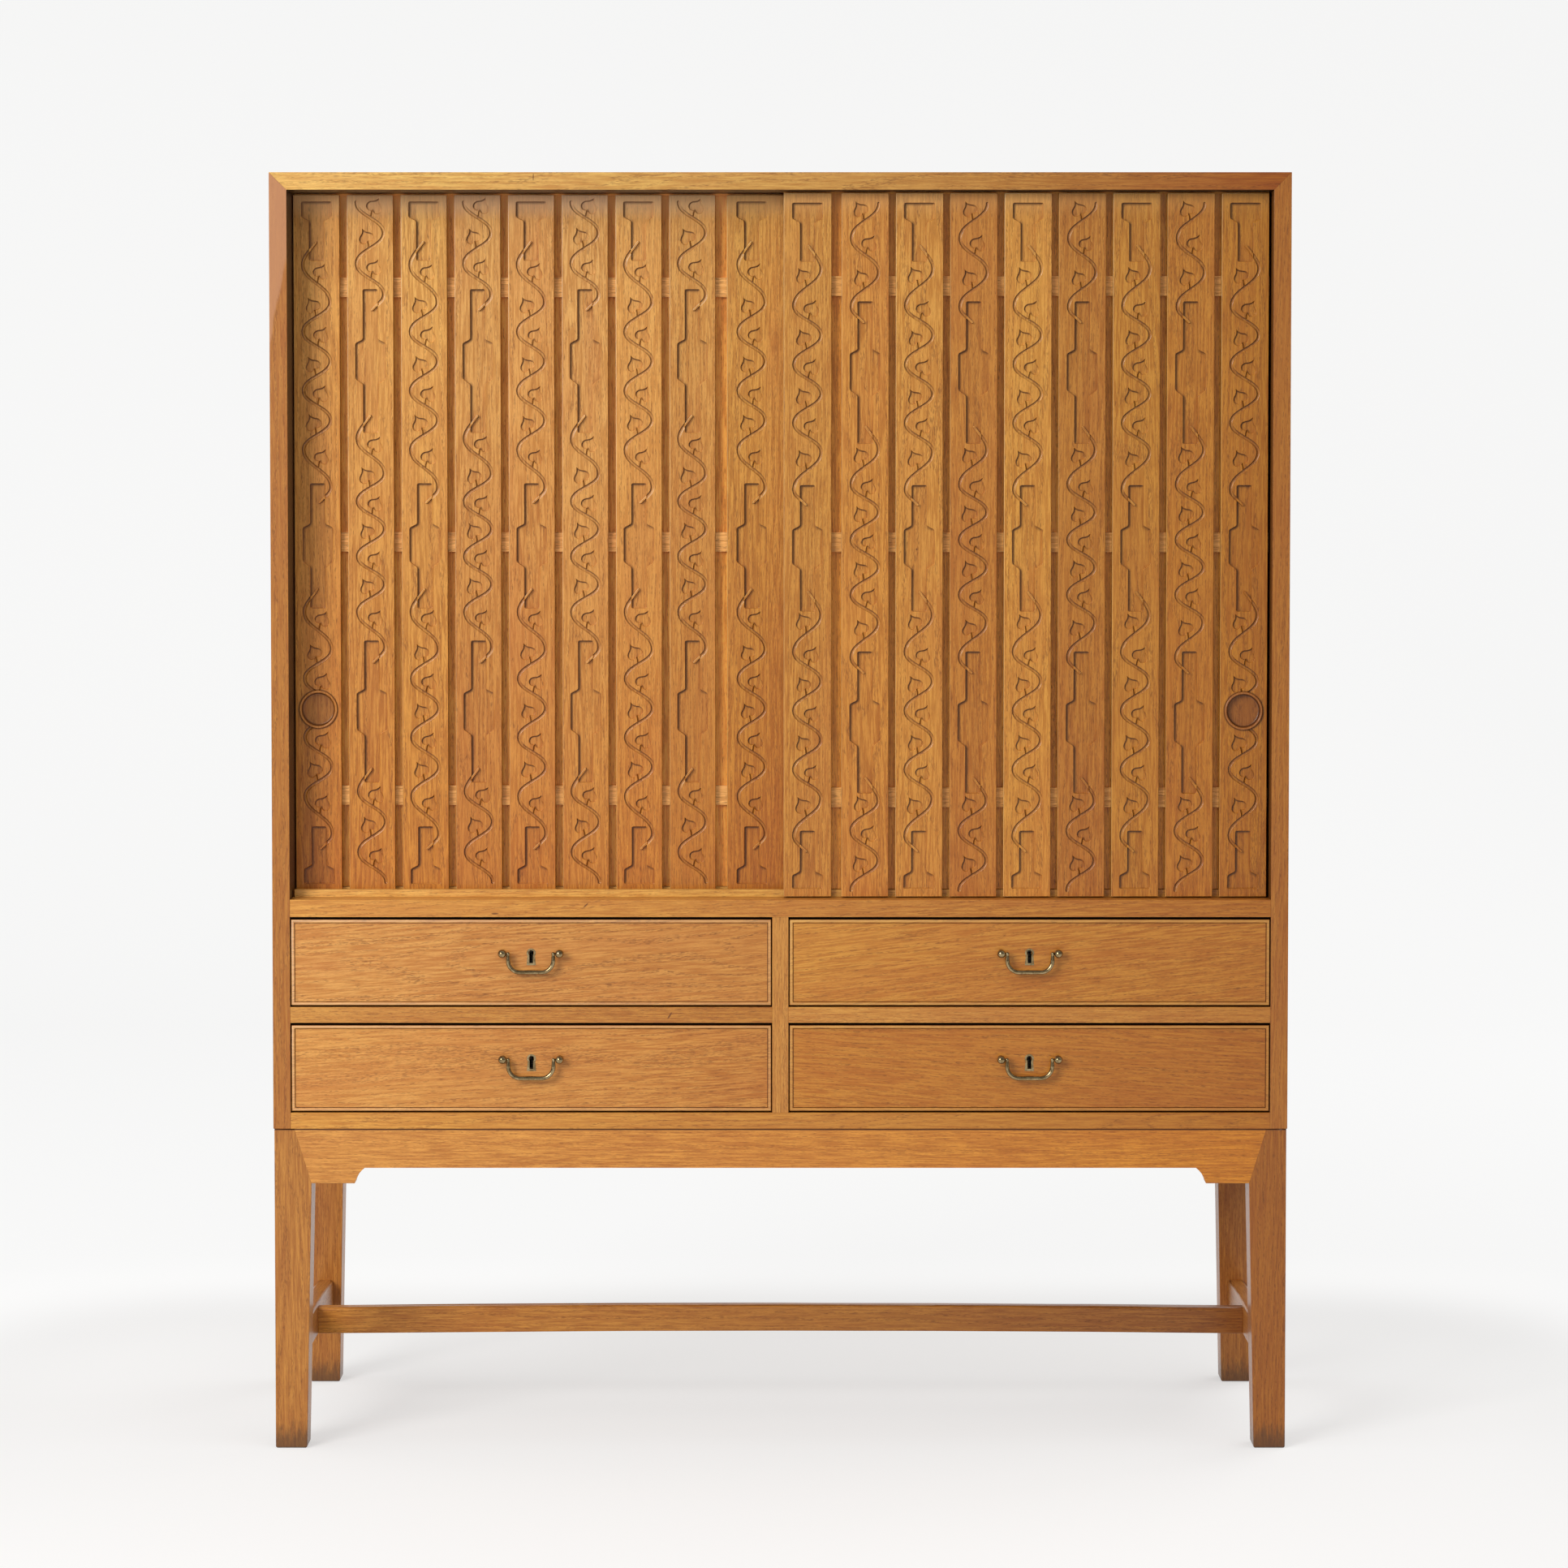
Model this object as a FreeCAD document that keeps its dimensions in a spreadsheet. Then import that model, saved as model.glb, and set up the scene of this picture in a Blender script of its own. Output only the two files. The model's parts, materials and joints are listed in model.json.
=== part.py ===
import FreeCAD, Part
import Sketcher
import math
import os

# Oak cabinet on a tapered-leg stand: two slatted sliding doors over four drawers.
# Millimetres. X runs left to right, Y from the front to the back, Z up from the floor.
# The origin lies on the floor under the middle of the whole cabinet, handles included.

# Driving sizes, one per line, grouped by the piece that owns them.
SIZES = {
    # case
    "case_width": 1280,
    "case_depth": 440,
    "total_height": 1610,
    "base_height": 406.7,
    "board_thickness": 22,
    "bottom_thickness": 20.6,
    "deck_thickness": 22.1,
    "rail_thickness": 20.1,
    "rail_depth": 60,
    "divider_thickness": 20.5,
    "drawer_opening": 113.8,
    "back_thickness": 8,
    "guide_width": 22,
    "case_edge_round": 1.2,
    # cupboard inside
    "partition_thickness": 18,
    "door_to_shelf_gap": 8,
    "shelf_thickness": 16,
    "shelf_end_gap": 0.5,
    "pin_radius": 3,
    "pin_reach": 8,
    "pin_inset": 45,
    # sliding doors
    "front_track": 24,
    "back_track": 62,
    "slat_thickness": 10,
    "left_slat_gap": 9.7,
    "right_slat_gap": 8.8,
    "right_slat_end_gap": 1.6,
    "left_meeting_width": 81.9,
    "right_meeting_width": 60.2,
    "meeting_overlap": 10,
    "right_meeting_edge": 4.2,
    "left_door_end_gap": 1.3,
    "right_door_end_gap": 1.8,
    "meeting_slat_gap": 12.6,
    "left_meeting_slat_gap": 14.7,
    "door_top_gap": 2.4,
    "slat_foot_gap": 1.5,
    "ledge_height": 25,
    "ledge_thickness": 6,
    "backing_thickness": 10,
    "tongue_thickness": 5,
    "tongue_height": 7.9,
    "groove_depth": 12.5,
    "runner_height": 9.5,
    "runner_thickness": 11.4,
    "runner_end_gap": 2,
    "lip_drop": 6,
    "slide_clearance": 0.3,
    # turned finger cups
    "cup_height": 934,
    "cup_margin": 4.85,
    "cup_rim_width": 3.4,
    "cup_rim_lap": 1.7,
    "cup_rim_proud": 3.5,
    "cup_rim_bevel": 1.2,
    "cup_bowl_depth": 9,
    "cup_bowl_bevel": 2.6,
    "cup_body_length": 9.6,
    "bore_clearance": 0.15,
    # drawers
    "front_thickness": 20,
    "front_side_gap": 1.2,
    "front_foot_gap": 2.1,
    "front_head_gap": 2.7,
    "bead_width": 4.2,
    "bead_round": 1.9,
    "panel_sink": 1.5,
    "quirk_width": 0.8,
    "quirk_depth": 0.8,
    "drawer_side_thickness": 12,
    "drawer_side_height": 88,
    "drawer_back_gap": 36,
    "drawer_back_inset": 8,
    "tail_length": 13,
    "tail_width": 19,
    "tail_flare": 2.2,
    "drawer_bottom_thickness": 6,
    "drawer_bottom_rise": 9,
    "groove_bite": 5,
    # bail handles
    "ball_spacing": 72,
    "ball_radius": 5.35,
    "ball_stand_off": 10,
    "handle_rise": 11.9,
    "post_radius": 2.3,
    "rose_radius": 4.2,
    "rose_thickness": 1.6,
    "nut_width": 9,
    "nut_thickness": 3,
    "bail_leg_spacing": 56.9,
    "bail_drop": 23.4,
    "bail_corner_radius": 15,
    "bail_end_radius": 1.9,
    "bail_grip_radius": 2.75,
    "bail_pin_radius": 1.4,
    "bail_pin_reach": 2.2,
    "knuckle_radius": 2.4,
    "pin_clearance": 0.1,
    # keyhole and lock
    "key_head_radius": 5.7,
    "key_plate_neck_width": 8.6,
    "key_plate_foot_width": 11.6,
    "key_plate_drop": 15.6,
    "key_plate_depth": 8,
    "key_plate_proud": 0.4,
    "key_hole_radius": 3.5,
    "key_slot_width": 4.7,
    "key_slot_drop": 13,
    "lock_width": 60,
    "lock_thickness": 9,
    "lock_below_key": 15,
    "key_well_depth": 5,
    # stand
    "stand_inset": 1,
    "leg_width": 46.8,
    "foot_width": 39.7,
    "foot_chamfer": 2,
    "leg_head_width": 25.4,
    "bracket_drop": 69.3,
    "apron_thickness": 20,
    "apron_drop": 49.5,
    "bracket_reach": 54.7,
    "bracket_run": 12.5,
    "bracket_bow": 2.1,
    "stretcher_thickness": 21,
    "stretcher_bottom": 104.4,
    "stretcher_height": 34.1,
    "side_stretcher_rise": 6,
    "cross_stretcher_rise": 3.5,
    "stretcher_round": 4,
    "stretcher_setback": 10.2,
    "block_reach": 85,
    "block_height": 40,
    "screw_radius": 2.5,
    "screw_head_radius": 4.6,
    "screw_head_height": 2.5,
    "screw_bite": 14,
    "screw_inset": 36,
}

# Shares of a size, chosen by hand.
SHELF_SHARES = (0.34, 0.67)
LEDGE_SHARES = (0.133, 0.5005, 0.868)
TAIL_SHARES = (0.2, 0.5, 0.8)
SLATS_BESIDE_MEETING = 8

doc = FreeCAD.newDocument("cabinet")
sheet = doc.addObject("Spreadsheet::Sheet", "sizes")
for row, (alias, number) in enumerate(SIZES.items(), 1):
    sheet.set("A%d" % row, alias)
    sheet.set("B%d" % row, str(number))
    sheet.setAlias("B%d" % row, alias)
doc.recompute()


class Size:
    """A length: its value and the sheet formula that gives it."""

    def __init__(self, value, formula):
        self.value = float(value)
        self.formula = formula

    def __add__(self, other):
        other = as_size(other)
        return Size(self.value + other.value, "(%s + %s)" % (self.formula, other.formula))

    def __radd__(self, other):
        return as_size(other) + self

    def __sub__(self, other):
        other = as_size(other)
        return Size(self.value - other.value, "(%s - %s)" % (self.formula, other.formula))

    def __rsub__(self, other):
        return as_size(other) - self

    def __mul__(self, other):
        other = as_size(other)
        return Size(self.value * other.value, "(%s * %s)" % (self.formula, other.formula))

    def __rmul__(self, other):
        return self * other

    def __truediv__(self, other):
        other = as_size(other)
        return Size(self.value / other.value, "(%s / %s)" % (self.formula, other.formula))

    def __neg__(self):
        return Size(-self.value, "(0 - %s)" % self.formula)


def as_size(number):
    """A plain number is a size that no cell drives."""
    return number if isinstance(number, Size) else Size(number, repr(number))


class Sizes:
    """The sheet's cells as sizes, read by their aliases."""


s = Sizes()
for alias, number in SIZES.items():
    setattr(s, alias, Size(number, "sizes." + alias))


# Places that several pieces share, worked out from the sizes.
half_width = s.case_width / 2
case_inner = half_width - s.board_thickness
handle_reach = s.ball_stand_off + s.ball_radius
front = -(s.case_depth - handle_reach) / 2
case_back = front + s.case_depth
back_face = case_back - s.back_thickness
inner_depth = s.case_depth - s.back_thickness
bottom_top = s.base_height + s.bottom_thickness
rail_bottom = bottom_top + s.drawer_opening
rail_top = rail_bottom + s.rail_thickness
deck_bottom = rail_top + s.drawer_opening
deck_top = deck_bottom + s.deck_thickness
lid_bottom = s.total_height - s.board_thickness
cupboard_height = lid_bottom - deck_top
door_thickness = s.slat_thickness + s.ledge_thickness + s.backing_thickness
slat_bottom = deck_top + s.slat_foot_gap
left_door_start = -case_inner + s.left_door_end_gap
left_door_end = s.right_meeting_edge + s.meeting_overlap
left_meeting_start = left_door_end - s.left_meeting_width
right_meeting_end = s.right_meeting_edge + s.right_meeting_width
right_door_end = case_inner - s.right_door_end_gap
drawer_back = front + inner_depth - s.drawer_back_gap
door_top = lid_bottom - s.door_top_gap
door_bottom = deck_top + s.runner_height + s.slide_clearance
shelf_front = front + s.back_track + door_thickness + s.door_to_shelf_gap
stand_front = front + s.stand_inset
stand_back = case_back - s.stand_inset
stand_side = half_width - s.stand_inset
shoulder_height = s.base_height - s.bracket_drop
middle_y = (stand_front + stand_back) / 2

nodes = {}


# Drawing helpers.
def place(piece, corner):
    """Bind a piece's base point to three sizes."""
    for axis, size in zip("xyz", corner):
        piece.setExpression("Placement.Base." + axis, as_size(size).formula)


def box(name, corner, lengths):
    """A board: its lowest corner and its lengths along X, Y and Z."""
    board = doc.addObject("Part::Box", name)
    for side, size in zip(("Length", "Width", "Height"), lengths):
        board.setExpression(side, as_size(size).formula)
    place(board, corner)
    return board


TURNS = {
    "x": FreeCAD.Rotation(FreeCAD.Vector(0, 1, 0), 90),
    "y": FreeCAD.Rotation(FreeCAD.Vector(1, 0, 0), -90),
    "z": FreeCAD.Rotation(),
}


def rod(name, start, axis, radius, length):
    """A round rod from its start along +X, +Y or +Z."""
    cylinder = doc.addObject("Part::Cylinder", name)
    cylinder.Placement = FreeCAD.Placement(FreeCAD.Vector(), TURNS[axis])
    cylinder.setExpression("Radius", as_size(radius).formula)
    cylinder.setExpression("Height", as_size(length).formula)
    place(cylinder, start)
    return cylinder


def ball(name, centre, radius):
    """A sphere about its centre."""
    sphere = doc.addObject("Part::Sphere", name)
    sphere.setExpression("Radius", as_size(radius).formula)
    place(sphere, centre)
    return sphere


def cut(name, base, *tools):
    """The base less its tools."""
    result = doc.addObject("Part::Cut", name)
    result.Base = base
    result.Tool = tools[0] if len(tools) == 1 else group(name + "_tools", *tools)
    return result


def fuse(name, *pieces):
    """Several shapes made one solid."""
    result = doc.addObject("Part::MultiFuse", name)
    result.Shapes = list(pieces)
    result.Refine = True
    return result


def group(name, *pieces):
    """Separate solids that share a node."""
    result = doc.addObject("Part::Compound", name)
    result.Links = list(pieces)
    return result


def mirror(name, piece, normal, centre=(0, 0, 0)):
    """The piece reflected in the plane through centre, square to normal."""
    result = doc.addObject("Part::Mirroring", name)
    result.Source = piece
    result.Normal = FreeCAD.Vector(*normal)
    for axis, size in zip("xyz", centre):
        result.setExpression("Base." + axis, as_size(size).formula)
    return result


def keep(label, piece):
    """Make a finished piece a named node."""
    piece.Label = label
    nodes[label] = piece
    return piece


def origin_plane(body, role):
    """One of a body's own three planes."""
    return [item for item in body.Origin.OriginFeatures if item.Role == role][0]


def draw(sketch, points, bulges=None):
    """Close an outline through the points; a bulge bows the side after its point into an arc."""
    bulges = bulges or {}
    vectors = [FreeCAD.Vector(as_size(a).value, as_size(b).value, 0) for a, b in points]
    count = len(points)
    starts = []
    ends = []
    for i in range(count):
        first, last = vectors[i], vectors[(i + 1) % count]
        if i in bulges:
            run = last - first
            aside = FreeCAD.Vector(-run.y, run.x, 0).normalize() * bulges[i].value
            crown = (first + last) / 2 + aside
            forward = bulges[i].value < 0
            arc = Part.Arc(first, crown, last) if forward else Part.Arc(last, crown, first)
            index = sketch.addGeometry(arc, False)
            starts.append((index, 1 if forward else 2))
            ends.append((index, 2 if forward else 1))
        else:
            index = sketch.addGeometry(Part.LineSegment(first, last), False)
            starts.append((index, 1))
            ends.append((index, 2))
    for i in range(count):
        sketch.addConstraint(Sketcher.Constraint("Coincident", *ends[i - 1], *starts[i]))
    for i, point in enumerate(points):
        for kind, size, number in zip(("DistanceX", "DistanceY"), point, vectors[i]):
            line = sketch.addConstraint(Sketcher.Constraint(kind, -1, 1, *starts[i], number))
            sketch.setExpression("Constraints[%d]" % line, as_size(size).formula)
    for i, rise in bulges.items():
        a, b = points[i], points[(i + 1) % count]
        dx, dy = as_size(b[0]) - a[0], as_size(b[1]) - a[1]
        chord_square = dx * dx + dy * dy
        radius = (chord_square / 4 + rise * rise) / (2 * Size(abs(rise.value), "abs(%s)" % rise.formula))
        line = sketch.addConstraint(Sketcher.Constraint("Radius", starts[i][0], radius.value))
        sketch.setExpression("Constraints[%d]" % line, radius.formula)


def add_sketch(body, name, role, points, bulges=None, lift=None):
    """A closed sketch on one of the body's planes, lifted off it if asked."""
    sketch = body.newObject("Sketcher::SketchObject", name)
    sketch.AttachmentSupport = (origin_plane(body, role), "")
    sketch.MapMode = "FlatFace"
    if lift is not None:
        sketch.setExpression("AttachmentOffset.Base.z", lift.formula)
    draw(sketch, points, bulges)
    return sketch


def profile(name, role, points, start, length, bulges=None):
    """A body with one outline padded from start: along +Y, +X or +Z by its plane."""
    body = doc.addObject("PartDesign::Body", name)
    sketch = add_sketch(body, name + "_outline", role, points, bulges)
    pad = body.newObject("PartDesign::Pad", name + "_pad")
    pad.Profile = sketch
    pad.Reversed = role == "XZ_Plane"
    pad.setExpression("Length", as_size(length).formula)
    axis = {"XZ_Plane": "y", "YZ_Plane": "x", "XY_Plane": "z"}[role]
    body.setExpression("Placement.Base." + axis, as_size(start).formula)
    return body


def dress(body, kind, size, chosen):
    """Round or bevel the body's edges whose middle passes the test."""
    doc.recompute()
    base = body.Tip
    names = []
    for number, edge in enumerate(base.Shape.Edges, 1):
        if chosen(edge):
            names.append("Edge%d" % number)
    feature = body.newObject("PartDesign::" + kind, body.Name + "_" + kind.lower())
    feature.Base = (base, names)
    feature.setExpression("Radius" if kind == "Fillet" else "Size", size.formula)
    return body


def middle(edge):
    """The middle of an edge's box."""
    return edge.BoundBox.Center


def near(a, b):
    """Whether two places agree, for picking edges."""
    return abs(a - as_size(b).value) < 0.01


# Case: mitred sides and top, with the boards between them.
def make_side(label, sign):
    outer = sign * half_width
    inner = sign * case_inner
    points = [
        (outer, s.base_height),
        (inner, s.base_height),
        (inner, lid_bottom),
        (outer, s.total_height),
    ]
    blank = profile(label + "_board", "XZ_Plane", points, front, s.case_depth)
    dress(blank, "Fillet", s.case_edge_round, lambda edge: (
        near(middle(edge).z, s.base_height)
        and (near(middle(edge).x, outer) or near(middle(edge).y, 0))))
    holes = []
    for number, place_of in enumerate(pin_places()):
        start = inner if sign > 0 else inner - s.pin_reach
        holes.append(rod("%s_hole_%d" % (label, number), (start,) + place_of, "x",
                         s.pin_radius, s.pin_reach))
    keep(label, cut(label, blank, *holes))


def shelf_heights():
    """The underside of each shelf."""
    return [deck_top + cupboard_height * share for share in SHELF_SHARES]


def pin_places():
    """Where shelf pins go on an upright: (Y, Z) of each."""
    places = []
    for height in shelf_heights():
        for y in (shelf_front + s.pin_inset, back_face - s.pin_inset):
            places.append((y, height - s.pin_radius))
    return places


def make_top():
    """The lid: mitred ends and two grooves that keep the doors upright."""
    points = [
        (-case_inner, lid_bottom),
        (case_inner, lid_bottom),
        (half_width, s.total_height),
        (-half_width, s.total_height),
    ]
    blank = profile("top_blank", "XZ_Plane", points, front, s.case_depth)
    grooves = []
    for name, track in (("front", s.front_track), ("back", s.back_track)):
        start = front + track + door_thickness - s.backing_thickness
        grooves.append(box(name + "_groove",
                           (-case_inner, start + s.slide_clearance, lid_bottom),
                           (2 * case_inner, s.tongue_thickness + 2 * s.slide_clearance,
                            s.groove_depth)))
    keep("top_board", cut("top_board", blank, *grooves))


def make_case():
    make_side("side_left", -1)
    make_side("side_right", 1)
    make_top()
    board = profile("bottom_blank", "XZ_Plane",
                    [(-case_inner, s.base_height), (case_inner, s.base_height),
                     (case_inner, bottom_top), (-case_inner, bottom_top)],
                    front, inner_depth)
    dress(board, "Fillet", s.case_edge_round,
          lambda edge: near(middle(edge).z, s.base_height) and near(middle(edge).y, 0))
    holes = []
    for number, (x, y) in enumerate(screw_places()):
        holes.append(rod("bottom_screw_hole_%d" % number, (x, y, s.base_height), "z",
                         s.screw_radius, s.screw_bite))
    keep("bottom_board", cut("bottom_board", board, *holes))
    keep("deck_board", box("deck_board", (-case_inner, front, deck_bottom),
                           (2 * case_inner, inner_depth, s.deck_thickness)))
    keep("centre_divider", box("centre_divider", (-s.divider_thickness / 2, front, bottom_top),
                               (s.divider_thickness, inner_depth, deck_bottom - bottom_top)))
    bay = case_inner - s.divider_thickness / 2
    rails = []
    guides = []
    for name, sign in (("left", -1), ("right", 1)):
        wall = sign * case_inner if sign < 0 else s.divider_thickness / 2
        rails.append(box("rail_" + name, (wall, front, rail_bottom),
                         (bay, s.rail_depth, s.rail_thickness)))
        for end, x in (("near", wall), ("far", wall + bay - s.guide_width)):
            guides.append(box("guide_%s_%s" % (name, end),
                              (x, front + s.rail_depth, rail_bottom),
                              (s.guide_width, inner_depth - s.rail_depth, s.rail_thickness)))
    keep("drawer_rails", group("drawer_rails", *rails))
    keep("drawer_guides", group("drawer_guides", *guides))
    keep("back_panel", box("back_panel", (-case_inner, back_face, s.base_height),
                           (2 * case_inner, s.back_thickness, lid_bottom - s.base_height)))


def make_cupboard():
    """The partition behind the doors, four shelves and their pins."""
    depth = back_face - shelf_front
    wall = s.partition_thickness / 2
    panel = box("partition_panel", (-wall, shelf_front, deck_top),
                (s.partition_thickness, depth, cupboard_height))
    shelves = []
    pins = []
    holes = []
    span = case_inner - wall
    for level, height in enumerate(shelf_heights()):
        for sign in (-1, 1):
            start = -case_inner if sign < 0 else wall
            shelves.append(box("shelf_%d_%d" % (level, sign + 1),
                               (start + s.shelf_end_gap, shelf_front, height),
                               (span - 2 * s.shelf_end_gap, depth, s.shelf_thickness)))
    for number, spot in enumerate(pin_places()):
        pins.append(rod("pin_left_%d" % number, (-case_inner - s.pin_reach,) + spot, "x",
                        s.pin_radius, 2 * s.pin_reach))
        pins.append(rod("pin_right_%d" % number, (case_inner - s.pin_reach,) + spot, "x",
                        s.pin_radius, 2 * s.pin_reach))
        pins.append(rod("pin_middle_%d" % number, (-wall - s.pin_reach,) + spot, "x",
                        s.pin_radius, s.partition_thickness + 2 * s.pin_reach))
        holes.append(rod("partition_hole_%d" % number, (-wall,) + spot, "x",
                         s.pin_radius, s.partition_thickness))
    keep("partition", cut("partition", panel, *holes))
    keep("shelves", group("shelves", *shelves))
    keep("shelf_pins", group("shelf_pins", *pins))


def runner_start(track):
    """The front face of a runner strip, just behind its door's slats."""
    return front + track + s.slat_thickness + s.slide_clearance


def make_runners():
    """Two strips on the deck: each carries a door's backing between slats and lip."""
    strips = []
    for name, track in (("front", s.front_track), ("back", s.back_track)):
        start = runner_start(track)
        strips.append(box(name + "_runner", (-case_inner + s.runner_end_gap, start, deck_top),
                          (2 * (case_inner - s.runner_end_gap), s.runner_thickness,
                           s.runner_height)))
    keep("door_runners", group("door_runners", *strips))


# Sliding doors.
def slat_row(start, end, gap):
    """The slats beside a door's meeting slat: the left edge of each, and their width."""
    width = (end - start - (SLATS_BESIDE_MEETING - 1) * gap) / SLATS_BESIDE_MEETING
    return [(start + number * (width + gap), width) for number in range(SLATS_BESIDE_MEETING)]


# The slats beside each meeting slat, and the finger cups that fit the left door's.
left_slats = slat_row(left_door_start, left_meeting_start - s.left_meeting_slat_gap,
                      s.left_slat_gap)
right_slats = slat_row(right_meeting_end + s.meeting_slat_gap,
                       right_door_end - s.right_slat_end_gap, s.right_slat_gap)
cup_rim_radius = left_slats[0][1] / 2 - s.cup_margin
cup_body_radius = cup_rim_radius - s.cup_rim_lap
cup_bowl_radius = cup_rim_radius - s.cup_rim_width


def make_cup(label, centre_x, face):
    """A turned finger cup: a rim on the slat's face and a bowl let into it."""
    body = doc.addObject("PartDesign::Body", label)
    floor = s.cup_bowl_depth - s.cup_rim_proud
    points = [
        (0, floor),
        (cup_bowl_radius, floor),
        (cup_bowl_radius, -s.cup_rim_proud),
        (cup_rim_radius, -s.cup_rim_proud),
        (cup_rim_radius, 0),
        (cup_body_radius, 0),
        (cup_body_radius, s.cup_body_length),
        (0, s.cup_body_length),
    ]
    sketch = add_sketch(body, label + "_outline", "XY_Plane", points)
    turn = body.newObject("PartDesign::Revolution", label + "_turning")
    turn.Profile = sketch
    turn.ReferenceAxis = (sketch, ["V_Axis"])
    turn.Angle = 360
    doc.recompute()
    dress(body, "Chamfer", s.cup_rim_bevel, lambda edge: (
        near(middle(edge).y, -s.cup_rim_proud)))
    dress(body, "Chamfer", s.cup_bowl_bevel, lambda edge: (
        near(middle(edge).y, floor) and near(edge.BoundBox.XMax, cup_bowl_radius)))
    place(body, (centre_x, face, s.cup_height))
    keep(label, body)


def make_door(side, track, slats, left_edge, right_edge, cup_slat):
    """One door: slats on ledges over a backing that rides its runner strip."""
    face = front + track
    ledge_face = face + s.slat_thickness
    backing_face = ledge_face + s.ledge_thickness
    boards = []
    for number, (x, width) in enumerate(slats):
        boards.append(box("%s_slat_%d" % (side, number), (x, face, slat_bottom),
                          (width, s.slat_thickness, door_top - slat_bottom)))
    cup_x = slats[cup_slat][0] + slats[cup_slat][1] / 2
    bore = rod(side + "_cup_bore", (cup_x, face, s.cup_height), "y",
               cup_body_radius + s.bore_clearance, s.slat_thickness)
    boards[cup_slat] = cut(side + "_cup_slat", boards[cup_slat], bore)
    keep(side + "_door_slats", group(side + "_door_slats", *boards))
    width = right_edge - left_edge
    ledges = []
    for number, share in enumerate(LEDGE_SHARES):
        centre = door_bottom + (door_top - door_bottom) * share
        ledges.append(box("%s_ledge_%d" % (side, number),
                          (left_edge, ledge_face, centre - s.ledge_height / 2),
                          (width, s.ledge_thickness, s.ledge_height)))
    keep(side + "_door_ledges", group(side + "_door_ledges", *ledges))
    tongue_front = backing_face + 2 * s.slide_clearance
    tongue_back = tongue_front + s.tongue_thickness
    backing_back = backing_face + s.backing_thickness
    lip_front = runner_start(track) + s.runner_thickness + s.slide_clearance
    points = [
        (backing_face, door_bottom),
        (lip_front, door_bottom),
        (lip_front, door_bottom - s.lip_drop),
        (backing_back, door_bottom - s.lip_drop),
        (backing_back, door_top),
        (tongue_back, door_top),
        (tongue_back, door_top + s.tongue_height),
        (tongue_front, door_top + s.tongue_height),
        (tongue_front, door_top),
        (backing_face, door_top),
    ]
    keep(side + "_door_backing",
         profile(side + "_door_backing", "YZ_Plane", points, left_edge, width))
    make_cup(side + "_door_cup", cup_x, face)


def make_doors():
    """The left door runs in the back track, and the right door in front of it."""
    slats = left_slats + [(left_meeting_start, s.left_meeting_width)]
    make_door("left", s.back_track, slats, left_door_start, left_door_end, 0)
    slats = [(s.right_meeting_edge, s.right_meeting_width)] + right_slats
    make_door("right", s.front_track, slats, s.right_meeting_edge, right_door_end,
              SLATS_BESIDE_MEETING)


# Drawers.
def side_outline(foot):
    """A drawer side seen from the end of the case, its dovetails towards the front."""
    shoulder = front + s.front_thickness
    points = [(shoulder, foot)]
    for share in TAIL_SHARES:
        centre = foot + s.drawer_side_height * share
        root = s.tail_width / 2 - s.tail_flare
        tip = s.tail_width / 2
        points.append((shoulder, centre - root))
        points.append((shoulder - s.tail_length, centre - tip))
        points.append((shoulder - s.tail_length, centre + tip))
        points.append((shoulder, centre + root))
    points.append((shoulder, foot + s.drawer_side_height))
    points.append((drawer_back, foot + s.drawer_side_height))
    points.append((drawer_back, foot))
    return points


def make_front(name, left, width, foot, height, tools):
    """The drawer front: a half-round bead and a quirk about a sunk panel."""
    outline = [(left, foot), (left + width, foot), (left + width, foot + height),
               (left, foot + height)]
    block = profile(name + "_front_block", "XZ_Plane", outline, front, s.front_thickness)
    dress(block, "Fillet", s.bead_round, lambda edge: (
        near(middle(edge).y, 0) and edge.Length > s.bead_width.value))
    inset = s.bead_width
    panel = box(name + "_panel_sink", (left + inset, front, foot + inset),
                (width - 2 * inset, s.panel_sink, height - 2 * inset))
    quirk_ring = cut(
        name + "_quirk",
        box(name + "_quirk_outer", (left + inset, front, foot + inset),
            (width - 2 * inset, s.panel_sink + s.quirk_depth, height - 2 * inset)),
        box(name + "_quirk_inner",
            (left + inset + s.quirk_width, front, foot + inset + s.quirk_width),
            (width - 2 * (inset + s.quirk_width), s.panel_sink + s.quirk_depth,
             height - 2 * (inset + s.quirk_width))))
    moulded = cut(name + "_moulded_front", block, panel, quirk_ring)
    keep(name + "_front", cut(name + "_front", moulded, *tools))


def key_outline(centre_x, head_z):
    """The flared foot of a keyhole liner, from the middle of its round head."""
    foot_z = head_z - s.key_plate_drop
    return [
        (centre_x - s.key_plate_neck_width / 2, head_z),
        (centre_x - s.key_plate_foot_width / 2, foot_z),
        (centre_x + s.key_plate_foot_width / 2, foot_z),
        (centre_x + s.key_plate_neck_width / 2, head_z),
    ]


def make_keyhole(name, centre_x, key_z):
    """The brass keyhole liner, and the well that it sits in."""
    panel = front + s.panel_sink
    plate_front = panel - s.key_plate_proud
    depth = s.key_plate_proud + s.key_plate_depth
    foot = profile(name + "_plate_foot", "XZ_Plane", key_outline(centre_x, key_z),
                   plate_front, depth)
    head = rod(name + "_plate_head", (centre_x, plate_front, key_z), "y",
               s.key_head_radius, depth)
    plate = fuse(name + "_plate", foot, head)
    slot = box(name + "_key_slot",
               (centre_x - s.key_slot_width / 2, plate_front, key_z - s.key_slot_drop),
               (s.key_slot_width, depth, s.key_slot_drop))
    hole = rod(name + "_key_hole", (centre_x, plate_front, key_z), "y",
               s.key_hole_radius, depth)
    keep(name + "_escutcheon", cut(name + "_escutcheon", plate, slot, hole))
    return plate


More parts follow.
